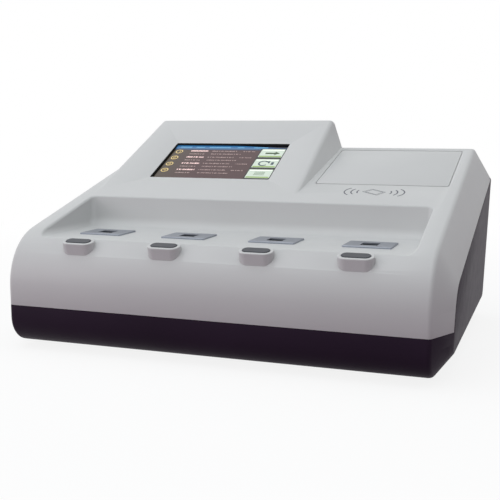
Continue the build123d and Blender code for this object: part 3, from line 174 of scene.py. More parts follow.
def add(tree, kind, inputs=(), **settings):
    """Adds a node, sets its properties, then fills or links the inputs that are named."""
    made = tree.nodes.new(kind)
    for name, value in settings.items():
        setattr(made, name, value)
    for key, value in dict(inputs).items():
        if isinstance(value, bpy.types.NodeSocket):
            tree.links.new(value, made.inputs[key])
        else:
            made.inputs[key].default_value = value
    return made


def new_material(name, inputs=()):
    """A material with only its output and its shader: (material, tree, shader)."""
    made = bpy.data.materials.new(name)
    made.use_nodes = True
    tree = made.node_tree
    tree.nodes.clear()
    shader = add(tree, "ShaderNodeBsdfPrincipled", inputs)
    add(tree, "ShaderNodeOutputMaterial", {"Surface": shader.outputs[0]})
    return made, tree, shader


def clouds(tree, size, detail=2.0, stretch=None):
    """Cloudy pattern on Object coordinates, its spots about size across or drawn out."""
    spot = add(tree, "ShaderNodeTexCoord").outputs["Object"]
    if stretch:
        spot = add(tree, "ShaderNodeMapping", {"Vector": spot, "Scale": stretch}).outputs[0]
    inputs = {"Vector": spot, "Scale": 1 / size, "Detail": detail}
    return add(tree, "ShaderNodeTexNoise", inputs).outputs["Fac"]


# A cloudy pattern seldom leaves this middle part of its range
MIDDLE = {"From Min": 0.25, "From Max": 0.75}


def patterned(tree, shader, pattern, colour=None, tone=None, rough=None, depth=None):
    """Lets a pattern vary the colour's tone, vary the roughness or raise the surface."""
    if tone:
        limits = {"Value": pattern, **MIDDLE, "To Min": tone[0], "To Max": tone[1]}
        share = add(tree, "ShaderNodeMapRange", limits).outputs[0]
        parts = dict.fromkeys(("Red", "Green", "Blue"), share)
        grey = add(tree, "ShaderNodeCombineColor", parts).outputs[0]
        layers = {0: 1.0, 6: opaque(colour), 7: grey}
        mixed = add(tree, "ShaderNodeMix", layers, data_type="RGBA", blend_type="MULTIPLY")
        tree.links.new(mixed.outputs[2], shader.inputs["Base Color"])
    if rough:
        limits = {"Value": pattern, **MIDDLE, "To Min": rough[0], "To Max": rough[1]}
        share = add(tree, "ShaderNodeMapRange", limits).outputs[0]
        tree.links.new(share, shader.inputs["Roughness"])
    if depth:
        inputs = {"Height": pattern, "Distance": depth, "Strength": 1.0}
        bump = add(tree, "ShaderNodeBump", inputs)
        tree.links.new(bump.outputs[0], shader.inputs["Normal"])


def mesh_piece(name, mesh, material, body=BODY):
    """Links the mesh as a piece at the origin, on that body."""
    piece = bpy.data.objects.new(name, mesh)
    bpy.context.scene.collection.objects.link(piece)
    mesh.materials.clear()
    mesh.materials.append(material)
    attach(piece, body)
    return piece


def from_bmesh(name, work):
    """A mesh with what the bmesh holds; the bmesh is freed."""
    mesh = bpy.data.meshes.new(name)
    work.to_mesh(mesh)
    work.free()
    return mesh


def finish_nodes(material, *nodes):
    """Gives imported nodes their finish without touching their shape."""
    for name in nodes:
        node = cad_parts[name]
        for place in node.material_slots:
            place.link = "OBJECT"
            place.material = material
        if not node.material_slots:
            node.data.materials.append(material)


def softened_copy(node, edge):
    """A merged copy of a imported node's mesh, with its sharp edges rounded by edge."""
    doubles, flat, sharp, shaded = 0.002 * MM, radians(0.4), radians(38), radians(32)
    work = bmesh.new()
    work.from_mesh(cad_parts[node].data)
    bmesh.ops.remove_doubles(work, verts=work.verts, dist=doubles)
    bmesh.ops.dissolve_limit(work, angle_limit=flat, verts=work.verts, edges=work.edges)
    mesh = from_bmesh(node + "_moulding", work)
    rough = bpy.data.objects.new(node + "_rough", mesh)
    bpy.context.scene.collection.objects.link(rough)
    bevel = rough.modifiers.new("Edge", "BEVEL")
    bevel.width = edge
    bevel.segments = 2
    bevel.limit_method = "ANGLE"
    bevel.angle_limit = sharp
    bevel.use_clamp_overlap = True
    bpy.context.view_layer.update()
    shape = rough.evaluated_get(bpy.context.evaluated_depsgraph_get())
    made = bpy.data.meshes.new_from_object(shape)
    bpy.data.objects.remove(rough)
    made.shade_smooth()
    made.set_sharp_from_angle(angle=shaded)
    return made


def dress(node, material, edge, body=BODY):
    """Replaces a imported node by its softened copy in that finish."""
    piece = mesh_piece(node + "_dressed", softened_copy(node, edge), material, body)
    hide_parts(node)
    return piece


# ----------------------------------------
# Geometry Nodes for what repeats
# ----------------------------------------


def sized_tree(name, sizes):
    """A node tree with a named input for each size: (tree, its inputs)."""
    tree = bpy.data.node_groups.new(name, "GeometryNodeTree")
    tree.interface.new_socket("Geometry", in_out="OUTPUT", socket_type="NodeSocketGeometry")
    for label, kind in sizes.items():
        tree.interface.new_socket(label, in_out="INPUT", socket_type="NodeSocket" + kind)
    return tree, tree.nodes.new("NodeGroupInput").outputs


def close_tree(tree, shape, finish):
    """Ends a tree: real geometry in its finish goes out."""
    solid = add(tree, "GeometryNodeRealizeInstances", {"Geometry": shape}).outputs[0]
    done = add(tree, "GeometryNodeSetMaterial", {"Geometry": solid, "Material": finish}).outputs[0]
    tree.links.new(done, tree.nodes.new("NodeGroupOutput").inputs[0])


def grown(tree, values):
    """The plain mesh that the tree makes with these values."""
    seed = bpy.data.objects.new(tree.name, bpy.data.meshes.new(tree.name))
    bpy.context.scene.collection.objects.link(seed)
    growth = seed.modifiers.new("Growth", "NODES")
    growth.node_group = tree
    for socket in tree.interface.items_tree:
        if socket.in_out == "INPUT":
            growth[socket.identifier] = values[socket.name]
    bpy.context.view_layer.update()
    shape = seed.evaluated_get(bpy.context.evaluated_depsgraph_get())
    made = bpy.data.meshes.new_from_object(shape)
    bpy.data.objects.remove(seed)
    return made


def leads_tree():
    """Row of bent metal strips: each leaves a body at its side and drops to the board."""
    lengths = dict.fromkeys(("Pitch", "Width", "Thickness", "Reach", "Drop"), "Float")
    tree, given = sized_tree("leads", {"Count": "Int", **lengths, "Finish": "Material"})
    half = add(tree, "ShaderNodeMath", {0: given["Reach"], 1: 0.5}, operation="MULTIPLY").outputs[0]
    top = add(tree, "ShaderNodeCombineXYZ", {"Z": given["Drop"]}).outputs[0]
    bend_out = add(tree, "ShaderNodeCombineXYZ", {"Y": half, "Z": given["Drop"]}).outputs[0]
    bend_in = add(tree, "ShaderNodeCombineXYZ", {"Y": half}).outputs[0]
    foot = add(tree, "ShaderNodeCombineXYZ", {"Y": given["Reach"]}).outputs[0]
    bends = {"Start": top, "Start Handle": bend_out, "End Handle": bend_in, "End": foot}
    run = add(tree, "GeometryNodeCurvePrimitiveBezierSegment", {"Resolution": 8, **bends})
    across = {"Width": given["Width"], "Height": given["Thickness"]}
    section = add(tree, "GeometryNodeCurvePrimitiveQuadrilateral", across).outputs[0]
    sweep = {"Curve": run.outputs[0], "Profile Curve": section, "Fill Caps": True}
    strip = add(tree, "GeometryNodeCurveToMesh", sweep).outputs[0]
    step = add(tree, "ShaderNodeCombineXYZ", {"X": given["Pitch"]}).outputs[0]
    row = add(tree, "GeometryNodeMeshLine", {"Count": given["Count"], "Offset": step}).outputs[0]
    strips = add(tree, "GeometryNodeInstanceOnPoints", {"Points": row, "Instance": strip})
    close_tree(tree, strips.outputs[0], given["Finish"])
    return tree


def chord(tree, radius, rise):
    """Half the width of a circle, rise away from its centre; 0 past its edge."""
    whole = add(tree, "ShaderNodeMath", {0: radius, 1: radius}, operation="MULTIPLY").outputs[0]
    lost = add(tree, "ShaderNodeMath", {0: rise, 1: rise}, operation="MULTIPLY").outputs[0]
    rest = add(tree, "ShaderNodeMath", {0: whole, 1: lost}, operation="SUBTRACT").outputs[0]
    kept = add(tree, "ShaderNodeMath", {0: rest, 1: 0.0}, operation="MAXIMUM").outputs[0]
    return add(tree, "ShaderNodeMath", {0: kept}, operation="SQRT").outputs[0]


def grille_tree():
    """Rolled rims round level slots that together fill a round opening."""
    lengths = dict.fromkeys(("Pitch", "Slot width", "Opening radius", "Rim"), "Float")
    tree, given = sized_tree("grille", {"Slots": "Int", **lengths, "Finish": "Material"})
    radius, height = given["Opening radius"], given["Slot width"]
    here = add(tree, "GeometryNodeInputPosition").outputs[0]
    spot = add(tree, "ShaderNodeSeparateXYZ", {0: here}).outputs

    # One slot as wide as the opening; each point keeps its rise over the slot's middle
    wide = add(tree, "ShaderNodeMath", {0: radius, 1: 2.0}, operation="MULTIPLY").outputs[0]
    size = {"Width": wide, "Height": height}
    outline = add(tree, "GeometryNodeCurvePrimitiveQuadrilateral", size).outputs[0]
    ring = add(tree, "GeometryNodeResampleCurve", {"Curve": outline, "Count": 132}).outputs[0]
    note = {"Geometry": ring, "Name": "rise", "Value": spot["Y"]}
    slot = add(tree, "GeometryNodeStoreNamedAttribute", note, domain="POINT").outputs[0]

    # A column of slots about the opening's centre
    gaps = add(tree, "ShaderNodeMath", {0: given["Slots"], 1: 1.0}, operation="SUBTRACT")
    span = {0: gaps.outputs[0], 1: given["Pitch"]}
    tall = add(tree, "ShaderNodeMath", span, operation="MULTIPLY").outputs[0]
    lowest = add(tree, "ShaderNodeMath", {0: tall, 1: -0.5}, operation="MULTIPLY").outputs[0]
    start = add(tree, "ShaderNodeCombineXYZ", {"Y": lowest}).outputs[0]
    step = add(tree, "ShaderNodeCombineXYZ", {"Y": given["Pitch"]}).outputs[0]
    column = {"Count": given["Slots"], "Start Location": start, "Offset": step}
    line = add(tree, "GeometryNodeMeshLine", column).outputs[0]
    placed = add(tree, "GeometryNodeInstanceOnPoints", {"Points": line, "Instance": slot})
    real = add(tree, "GeometryNodeRealizeInstances", {"Geometry": placed.outputs[0]}).outputs[0]

    # Their ends drawn in to the circle of the opening, and rounded
    rise = add(tree, "GeometryNodeInputNamedAttribute", {"Name": "rise"}, data_type="FLOAT")
    half = add(tree, "ShaderNodeMath", {0: height, 1: 0.5}, operation="MULTIPLY").outputs[0]
    flat = add(tree, "ShaderNodeMath", {0: radius, 1: half}, operation="SUBTRACT").outputs[0]
    bulge = chord(tree, half, rise.outputs[0])
    end = add(tree, "ShaderNodeMath", {0: flat, 1: bulge}, operation="ADD").outputs[0]
    circle = chord(tree, radius, spot["Y"])
    right = add(tree, "ShaderNodeMath", {0: circle, 1: end}, operation="MINIMUM").outputs[0]
    left = add(tree, "ShaderNodeMath", {0: right, 1: -1.0}, operation="MULTIPLY").outputs[0]
    inner = add(tree, "ShaderNodeMath", {0: spot["X"], 1: right}, operation="MINIMUM").outputs[0]
    across = add(tree, "ShaderNodeMath", {0: inner, 1: left}, operation="MAXIMUM").outputs[0]
    place = add(tree, "ShaderNodeCombineXYZ", {"X": across, "Y": spot["Y"]}).outputs[0]
    shaped = add(tree, "GeometryNodeSetPosition", {"Geometry": real, "Position": place}).outputs[0]
    rim = {"Resolution": 6, "Radius": given["Rim"]}
    section = add(tree, "GeometryNodeCurvePrimitiveCircle", rim).outputs[0]
    rims = add(tree, "GeometryNodeCurveToMesh", {"Curve": shaped, "Profile Curve": section})
    close_tree(tree, rims.outputs[0], given["Finish"])
    return tree


# ----------------------------------------
# Finishes
# ----------------------------------------


def moulded_abs(name, colour, roughness, grain, depth, mottle=0.02, gloss=0.5):
    """Injection moulded ABS: an even colour with a fine eroded grain and a soft gloss."""
    made, tree, shader = new_material(name, {"IOR": 1.53, "Specular IOR Level": gloss})
    # The melt's flow shades the wall over about 70 mm, and the tool's wear dulls it over 9 mm
    patterned(tree, shader, clouds(tree, 70 * MM), colour, tone=(1 - mottle, 1 + mottle))
    patterned(tree, shader, clouds(tree, 9 * MM), rough=(roughness - 0.03, roughness + 0.03))
    # The real grain is about 0.1 mm; it is drawn coarser, so that it shows
    patterned(tree, shader, clouds(tree, grain, 3.0), depth=depth)
    return made


def anodised_aluminium(name, colour, roughness, brush, along=(1, 0, 0)):
    """Brushed and anodised aluminium: fine lines of the brush under a coloured oxide."""
    made, tree, shader = new_material(name, {"Metallic": 0.75})
    # Real brush lines are about 0.05 mm apart; they are drawn coarser, so that they show
    lines = clouds(tree, brush, stretch=[0.04 if axis else 1.0 for axis in along])
    rough = (roughness - 0.08, roughness + 0.1)
    patterned(tree, shader, lines, colour, tone=(0.82, 1.12), rough=rough, depth=0.01 * MM)
    return made


def plated_steel(name, colour, roughness, spangle):
    """Plated metal, mostly zinc on steel sheet: bright, with a faint cloudy spangle."""
    made, tree, shader = new_material(name, {"Metallic": 1.0})
    rough = (roughness - 0.05, roughness + 0.08)
    patterned(tree, shader, clouds(tree, spangle, 3.0), colour, tone=(0.9, 1.08), rough=rough)
    return made


def structure_paint(name, colour, grit):
    """Powder coat on sheet: dull, with a fine orange peel."""
    made, tree, shader = new_material(name, {"Roughness": 0.55})
    # The real structure is about 0.5 mm across; it is drawn coarser, so that it shows
    patterned(tree, shader, clouds(tree, grit), colour, tone=(0.92, 1.1), depth=0.06 * MM)
    return made


def rubber(name, colour, pore):
    """Moulded rubber: dull, with fine pores."""
    made, tree, shader = new_material(name, {"Roughness": 0.8})
    # Real pores are under 0.1 mm across; they are drawn coarser, so that they show
    patterned(tree, shader, clouds(tree, pore, 3.0), colour, tone=(0.85, 1.1), depth=0.03 * MM)
    return made


def solder_resist(name, colour):
    """Epoxy board under green resist: copper tracks show as a lighter pattern of lines."""
    made, tree, shader = new_material(name, {"Roughness": 0.38})
    # Real tracks lie about 1 mm apart; they are drawn 9 mm apart, so that they show
    inputs = {
        "Vector": add(tree, "ShaderNodeTexCoord").outputs["Object"],
        "Scale": 1 / (9 * MM),
        "Mortar Size": 0.06,
        "Color1": opaque(colour),
        "Color2": opaque([c * 0.9 for c in colour]),
        "Mortar": opaque([min(1.0, c * 1.6) for c in colour]),
    }
    tracks = add(tree, "ShaderNodeTexBrick", inputs).outputs
    tree.links.new(tracks["Color"], shader.inputs["Base Color"])
    patterned(tree, shader, tracks["Fac"], depth=0.03 * MM)
    return made


def wound_paper(name, colour, centre):
    """Thermal paper wound in a roll: rings of the layers on its ends."""
    made, tree, shader = new_material(name, {"Roughness": 0.7})
    spot = add(tree, "ShaderNodeTexCoord").outputs["Object"]
    shift = {"Vector": spot, "Location": [-c for c in centre]}
    about = add(tree, "ShaderNodeMapping", shift).outputs[0]
    # The real layers are 0.06 mm thick; the rings are drawn coarser, so that they show
    waves = {"Vector": about, "Scale": 1 / (2.4 * MM), "Distortion": 0.6, "Detail": 1.0}
    rings = add(tree, "ShaderNodeTexWave", waves, wave_type="RINGS", rings_direction="X")
    patterned(tree, shader, rings.outputs["Fac"], colour, tone=(0.86, 1.03))
    return made


def glossy_moulding(name, colour):
    """Glossy black polyamide of sockets and switches, with faint flow marks."""
    made, tree, shader = new_material(name)
    flow = clouds(tree, 6 * MM)
    patterned(tree, shader, flow, colour, tone=(0.85, 1.15), rough=(0.22, 0.32))
    patterned(tree, shader, clouds(tree, 0.8 * MM), depth=0.008 * MM)
    return made


def printed_ink(name, colour):
    """Pad printed ink: a thin dull film with a slightly uneven tone."""
    made, tree, shader = new_material(name, {"Roughness": 0.55})
    # The film is uneven over about 0.3 mm; this is drawn coarser, so that it shows
    patterned(tree, shader, clouds(tree, 0.7 * MM), colour, tone=(0.94, 1.1))
    return made


def lit_picture(name):
    """Picture of a backlit panel under its cover glass, with colours from the mesh."""
    made, tree, shader = new_material(name, {"Emission Strength": 0.6, "Roughness": 0.2})
    ink = add(tree, "ShaderNodeVertexColor", layer_name="ink").outputs["Color"]
    # The real cells are about 0.1 mm; they are drawn coarser, so that they show
    limits = {"Value": clouds(tree, 0.6 * MM, 1.0), **MIDDLE, "To Min": 0.0, "To Max": 0.12}
    dark = add(tree, "ShaderNodeMapRange", limits).outputs[0]
    layers = {0: dark, 6: ink, 7: (0, 0, 0, 1)}
    lit = add(tree, "ShaderNodeMix", layers, data_type="RGBA").outputs[2]
    tree.links.new(lit, shader.inputs["Base Color"])
    tree.links.new(lit, shader.inputs["Emission Color"])
    return made


def cover_glass(name):
    """Dark cover glass of the panel's border: glossy, with a faint smear."""
    made, tree, shader = new_material(name, {"IOR": 1.5})
    smear = clouds(tree, 12 * MM, 3.0)
    patterned(tree, shader, smear, linear("#0B0B0D"), tone=(0.8, 1.3), rough=(0.06, 0.16))
    return made


# ----------------------------------------
# Flat shapes for the print and the picture
# ----------------------------------------

# Levels of a drawing, each a hair above the one before it
GROUND, BAR, SHADOW, WORDS, BUTTON, GLEAM, SIGN = range(7)


class FlatDrawing:
    """Flat coloured shapes on a plane, those of a higher level a hair above the others."""

    def __init__(self, plane, lift):
        self.work = bmesh.new()
        self.ink = self.work.loops.layers.color.new("ink")
        self.plane = plane
        self.lift = lift / MM

    def fill(self, corners, colour):
        """One face, its corners in millimetres on and over the plane."""
        spots = [self.plane @ Vector([part * MM for part in corner]) for corner in corners]
        face = self.work.faces.new([self.work.verts.new(spot) for spot in spots])
        for loop in face.loops:
            loop[self.ink] = opaque(colour)

    def shape(self, points, colour, level=GROUND):
        """A filled outline, its points counterclockwise."""
        height = self.lift * (1 + level)
        self.fill([(x, y, height) for x, y in points], colour)

    def bar(self, x, y, width, height, colour, level=GROUND, radius=0.0):
        """A bar with rounded corners whose lower left corner is at x, y."""
        points = []
        for cx, cy, start in (
            (x + width - radius, y + radius, -90),
            (x + width - radius, y + height - radius, 0),
            (x + radius, y + height - radius, 90),
            (x + radius, y + radius, 180),
        ):
            for step in range(4 if radius else 1):
                angle = radians(start + 30 * step)
                points.append((cx + radius * cos(angle), cy + radius * sin(angle)))
        self.shape(points, colour, level)

    def arc(self, cx, cy, radius, start, end, stroke, colour, level=GROUND, steps=14):
        """A curved stroke about cx, cy between two angles in degrees."""
        inner, outer = radius - stroke / 2, radius + stroke / 2
        for k in range(steps):
            a = radians(start + (end - start) * k / steps)
            b = radians(start + (end - start) * (k + 1) / steps)
            corners = [(inner, a), (outer, a), (outer, b), (inner, b)]
            self.shape([(cx + r * cos(t), cy + r * sin(t)) for r, t in corners], colour, level)

    def skirt(self, start, end, depth, colour):
        """A wall from an edge of the drawing down to the ground below it."""
        foot = -depth / MM
        self.fill([(*start, foot), (*end, foot), (*end, 0.0), (*start, 0.0)], colour)

    def stroke(self, start, end, width, colour, level=GROUND):
        """A straight stroke with square ends from start to end."""
        (ax, ay), (bx, by) = start, end
        turn = atan2(by - ay, bx - ax)
        nx, ny = -sin(turn) * width / 2, cos(turn) * width / 2
        ex, ey = ny, -nx
        corners = [
            (ax - nx - ex, ay - ny - ey),
            (bx - nx + ex, by - ny + ey),
            (bx + nx + ex, by + ny + ey),
            (ax + nx - ex, ay + ny - ey),
        ]
        self.shape(corners, colour, level)

    def mesh(self, name, outward=(0, 0, 1)):
        """The drawing as a mesh whose faces look outward."""
        self.work.normal_update()
        for face in self.work.faces:
            if face.normal.dot(Vector(outward)) < -0.01:
                face.normal_flip()
        return from_bmesh(name, self.work)


# Strokes of each number, lettered clockwise from the top, with the middle one last
SEGMENTS = {1: "bc", 2: "abged", 3: "abgcd", 4: "fgbc"}


def digit(drawing, number, x, y, height, colour, level):
    """A plain number made of straight strokes, its lower left corner at x, y."""
    width, stroke = height * 0.5, height * 0.16
    lines = {
        "a": ((0, height), (width, height)),
        "b": ((width, height), (width, height / 2)),
        "c": ((width, height / 2), (width, 0)),
        "d": ((0, 0), (width, 0)),
        "e": ((0, height / 2), (0, 0)),
        "f": ((0, height), (0, height / 2)),
        "g": ((0, height / 2), (width, height / 2)),
    }
    for name in SEGMENTS[number]:
        (ax, ay), (bx, by) = lines[name]
        drawing.stroke((x + ax, y + ay), (x + bx, y + by), stroke, colour, level)


# ----------------------------------------
# Operators
# ----------------------------------------


class ANALYZER_OT_shells(bpy.types.Operator):
    """Softens and finishes the upper shell, the base, the lid and the key rims"""

    bl_idname = "analyzer.shells"
    bl_label = "Shells"

    def execute(self, context):
        colours, sizes = context.scene.analyzer_colours, context.scene.analyzer_sizes
        name = "ABS, moulded, silver grey"
        depth = 0.012 * MM
        light = moulded_abs(name, colours.shell, 0.45, sizes.grain, depth, mottle=0.012, gloss=0.4)
        name = "ABS, moulded, aubergine black"
        depth = 0.03 * MM
        dark = moulded_abs(name, colours.base, 0.5, sizes.grain, depth, mottle=0.12, gloss=0.05)
        shell = dress("upper_shell", light, sizes.edge)
        self.line_opening(shell.data)
        dress("base_shell", dark, sizes.edge)
        dress("printer_lid", light, sizes.edge, "lid")
        finish_nodes(light, *[f"key_bezel_{n}" for n in CHANNELS])
        return {"FINISHED"}

    def line_opening(self, shell):
        """Black seal paint on the walls of the screen's opening"""
        name = "Seal paint, black on the opening's walls"
        shell.materials.append(rubber(name, linear("#0D0C0E"), 0.8 * MM))
        left, right, low, high = OPENING
        top = glass_depth / MM - 0.1
        # A wall's normal lies nearly in the plane of the glass
        upright = 0.4
        to_glass = glass.inverted()
        turn = to_glass.to_3x3()
        for face in shell.polygons:
            spot = (to_glass @ face.center) / MM
            inside = left < spot.x < right and low < spot.y < high and spot.z < top
            if inside and abs((turn @ face.normal).z) < upright:
                face.material_index = 1


class ANALYZER_OT_channels(bpy.types.Operator):
    """Finishes the port plates, the wells, the keys and what stands under them"""

    bl_idname = "analyzer.channels"
    bl_label = "Channels"

    def execute(self, context):
        colours = context.scene.analyzer_colours
        name = "Aluminium, brushed and anodised blue grey"
        plate = anodised_aluminium(name, colours.port_plate, 0.36, 0.9 * MM)
        name = "Aluminium, blasted and anodised black"
        block = anodised_aluminium(name, colours.well, 0.5, 0.4 * MM, along=(0, 0, 1))
        name = "ABS, moulded, graphite satin"
        key = moulded_abs(name, colours.key, 0.4, 0.4 * MM, 0.004 * MM, gloss=0.2)
        can = plated_steel("Steel, drawn can of the motor", linear("#A9AAAC"), 0.3, 5 * MM)
        lamp = plated_steel("Brass, turned lamp body", linear("#C9A65C"), 0.28, 3 * MM)
        name = "Acetal, moulded stirrer disc"
        disc = moulded_abs(name, linear("#26272A"), 0.45, 0.6 * MM, 0.01 * MM)
        for number in CHANNELS:
            finish_nodes(plate, f"port_plate_{number}")
            finish_nodes(block, f"cuvette_block_{number}")
            finish_nodes(key, f"channel_key_{number}")
            finish_nodes(can, f"stirrer_motor_{number}")
            finish_nodes(lamp, f"light_source_{number}")
            finish_nodes(disc, f"stirrer_rotor_{number}")
        return {"FINISHED"}


class ANALYZER_OT_screen(bpy.types.Operator):
    """Draws the picture on the screen and finishes the glass and its seal"""

    bl_idname = "analyzer.screen"
    bl_label = "Screen"

    def execute(self, context):
        colours, sizes = context.scene.analyzer_colours, context.scene.analyzer_sizes
        seal = rubber("Foam rubber, screen seal", linear("#0C0C0D"), 0.8 * MM)
        name = "Steel, bright case of the display"
        case = plated_steel(name, linear("#B4B5B7"), 0.25, 9 * MM)
        bracket = plated_steel("Steel, zinc plated bracket", linear("#A7A9AA"), 0.35, 6 * MM)
        finish_nodes(cover_glass("Glass, cover of the touch panel"), "touch_panel")
        finish_nodes(seal, "screen_gasket")
        finish_nodes(case, "display_module")
        finish_nodes(bracket, "display_bracket")
        drawing = FlatDrawing(picture, sizes.print_lift)
        self.ground(drawing, colours)
        self.rows(drawing, colours, sizes.row_pitch / MM)
        self.buttons(drawing, colours)
        lit = lit_picture("Display, backlit picture")
        mesh_piece("screen_picture", drawing.mesh("screen_picture"), lit)
        return {"FINISHED"}

    def ground(self, drawing, colours):
        """Raised window with its black edge, the ground and the bar along the top; the black edge
        and the dark top edge are partly painted shade of the opening's walls.
        """
        left, right, low, high = WINDOW
        black, olive, navy = linear("#0A0A0C"), linear("#7C6E58"), linear("#131A45")
        rim = [(left, low), (right, low), (right, high), (left, high)]
        for start, end in zip(rim, rim[1:] + rim[:1]):
            drawing.skirt(start, end, window_height, black)
        # The black left edge, wider at its foot than at its top, is partly the display's black mask
        # and partly painted shade of the opening's left wall
        foot_width, top_width = 1.8, 0.5
        edge = [(left, low), (left + foot_width, low), (left + top_width, high), (left, high)]
        drawing.shape(edge, black, BUTTON)

        # Upright strips, olive at the left of the ground and navy at the right of the bar
        strips, olive_strips, navy_start, navy_strips = 24, 7, 17, 12
        width = (right - left) / strips
        bar_low, shadow_height, shadow = 86.4, 2.4, 0.72
        for k in range(strips):
            x = left + (right - left) * k / strips
            shade = blend(colours.picture, olive, max(0.0, 1 - k / olive_strips))
            drawing.bar(x, low, width, high - low, shade)
            shade = blend(colours.title, navy, max(0.0, (k - navy_start) / navy_strips))
            drawing.bar(x, bar_low, width, high - bar_low, shade, BAR)
            drawing.bar(x, bar_low, width, shadow_height, [c * shadow for c in shade], SHADOW)

        # Dark top edge that slopes down to the right, and the words of the bar. The navy wedge is
        # partly the picture's own band and partly painted shade of the opening's top wall; the thin
        # black strip over it is partly the display's black mask and partly painted shade of that
        # wall
        wedge_x, thin, thick = -50, 1.0, 5.0
        navy_and_shade_wedge = [(wedge_x, high), (wedge_x, high - thin), (right, high - thick), (right, high)]
        drawing.shape(navy_and_shade_wedge, navy, SHADOW)
        drawing.bar(left, high - thin, right - left, thin, black, WORDS)
        word_low, word_height, pale = bar_low + 3.8, 1.9, linear("#9CC8DC")
        for x, word in ((-108, 12), (-91.5, 9), (-78, 22), (-49.5, 7), (-33, 14)):
            drawing.bar(x, word_low, word, word_height, pale, WORDS, radius=0.6)

    def rows(self, drawing, colours, pitch):
        """Four rows: a numbered ring, two lines of writing, a reading and its unit."""
        cream = linear("#E9DDB8")
        soft = [c * 0.62 for c in colours.writing]
        first_row, ring_x, ring_radius, ring_stroke = 82.2, -105.8, 3.2, 0.9
        digit_x, digit_height = -106.7, 3.4
        # Left end, rise over the row, length, height, colour and first step of each line
        lines = (
            (-94.0, 0.1, 17.5, 2.6, colours.writing, 5),
            (-93.5, -5.7, 15.5, 1.9, soft, 11),
            (-72.5, 0.3, 26.0, 2.0, soft, 17),
            (-71.5, -5.5, 29.5, 1.9, soft, 23),
            (-40.8, 0.2, 11.5, 1.8, soft, 29),
        )
        for row in range(4):
            y = first_row - pitch * row
            ring = (ring_x, y - 0.3, ring_radius, 0, 360, ring_stroke)
            drawing.arc(*ring, cream, WORDS, steps=24)
            digit(drawing, row + 1, digit_x, y - 2.0, digit_height, cream, WORDS)
            for x, rise, length, height, shade, seed in lines:
                self.writing(drawing, x, y + rise, length, height, shade, seed + row)

    def writing(self, drawing, x, y, length, height, colour, seed):
        """A line of illegible writing: short strokes of uneven length."""
        end = x + length
        gap, word_gap = 0.35, 1.1
        step = seed
        while x < end:
            step = (step * 7 + 3) % 11
            width = 0.5 + 0.12 * step
            rise = height * (0.75 + 0.05 * (step % 6))
            drawing.bar(x, y, min(width, end - x), rise, colour, WORDS, radius=0.15)
            x += width + (gap if step % 4 else word_gap)

    def buttons(self, drawing, colours):
        """Three buttons with plain signs: an arrow, a turning arrow and a sheet."""
        left, width, height = -23.5, 22.6, 15.8
        strip = (left - 1.2, 27.9, width + 3.1, 61.0)
        shadow_inset, shadow_height, gleam_inset, gleam_height = 0.6, 2.0, 0.8, 1.8
        shadow, gleam = linear("#B9CB92"), linear("#F0F4EE")
        green, blue, grey = linear("#6E8A66"), linear("#6F8791"), linear("#A7B6A6")
        lows = arrow_low, turn_low, sheet_low = 72.6, 52.8, 33.2
        drawing.bar(*strip, linear("#22301C"), WORDS)
        for low in lows:
            drawing.bar(left, low, width, height, colours.button, BUTTON, radius=0.8)
            x, y, across = left + shadow_inset, low + shadow_inset, width - 2 * shadow_inset
            drawing.bar(x, y, across, shadow_height, shadow, GLEAM, radius=0.6)
            x, across = left + gleam_inset, width - 2 * gleam_inset
            y = low + height - gleam_inset - gleam_height
            drawing.bar(x, y, across, gleam_height, gleam, GLEAM, radius=0.6)

        # The signs, from the middle of each button's foot
        middle = left + width / 2
        arrow = [(-6, 6.2), (3, 6.2), (3, 4.4), (8, 7.6), (3, 10.8), (3, 9.0), (-6, 9.0)]
        drawing.shape([(middle + x, arrow_low + y) for x, y in arrow], green, SIGN)
        turn = (middle - 2, turn_low + 7.8, 4.2, 40, 320, 1.5)
        drawing.arc(*turn, blue, SIGN, steps=18)
        head = [(0.2, 11.0), (3.4, 7.6), (3.6, 12.4)]
        drawing.shape([(middle + x, turn_low + y) for x, y in head], blue, SIGN)
        drawing.bar(middle + 5.2, turn_low + 5.2, 2.6, 5.0, blue, SIGN, radius=0.4)
        for line in range(3):
            y = sheet_low + 5.4 + 2.4 * line
            drawing.bar(middle - 5, y, 10, 0.9, grey, SIGN, radius=0.2)


class ANALYZER_OT_card_symbol(bpy.types.Operator):
    """Prints the sign of the card reader on the deck"""

    bl_idname = "analyzer.card_symbol"
    bl_label = "Card symbol"

    def execute(self, context):
        colours, sizes = context.scene.analyzer_colours, context.scene.analyzer_sizes
        drawing = FlatDrawing(deck, sizes.print_lift)
        stroke = sizes.symbol_stroke / MM
        x, y = 96.4, 138.6

        # Three waves to each side: how far each reaches, its radius and half its angle
        for reach, radius, half in ((24.7, 9.8, 56), (19.1, 8.9, 44), (14.1, 6.8, 31)):
            for side, start in ((1, 0), (-1, 180)):
                centre = x + side * (reach - radius)
                ends = (start - half, start + half)
                drawing.arc(centre, y, radius, *ends, stroke, colours.symbol)

        # The card: a tilted outline and a smaller one in it
        corners = [(-9.6, 0.3), (3.5, -7.2), (9.2, 0.4), (-2.8, 7.1)]
        for share in (1.0, 0.78):
            spots = [(x + right * share, y + up * share) for right, up in corners]
            for start, end in zip(spots, spots[1:] + spots[:1]):
                drawing.stroke(start, end, stroke * 0.5, colours.symbol)
        ink = printed_ink("Ink, pad printed grey", colours.symbol)
        mesh_piece("card_symbol", drawing.mesh("card_symbol"), ink)
        return {"FINISHED"}


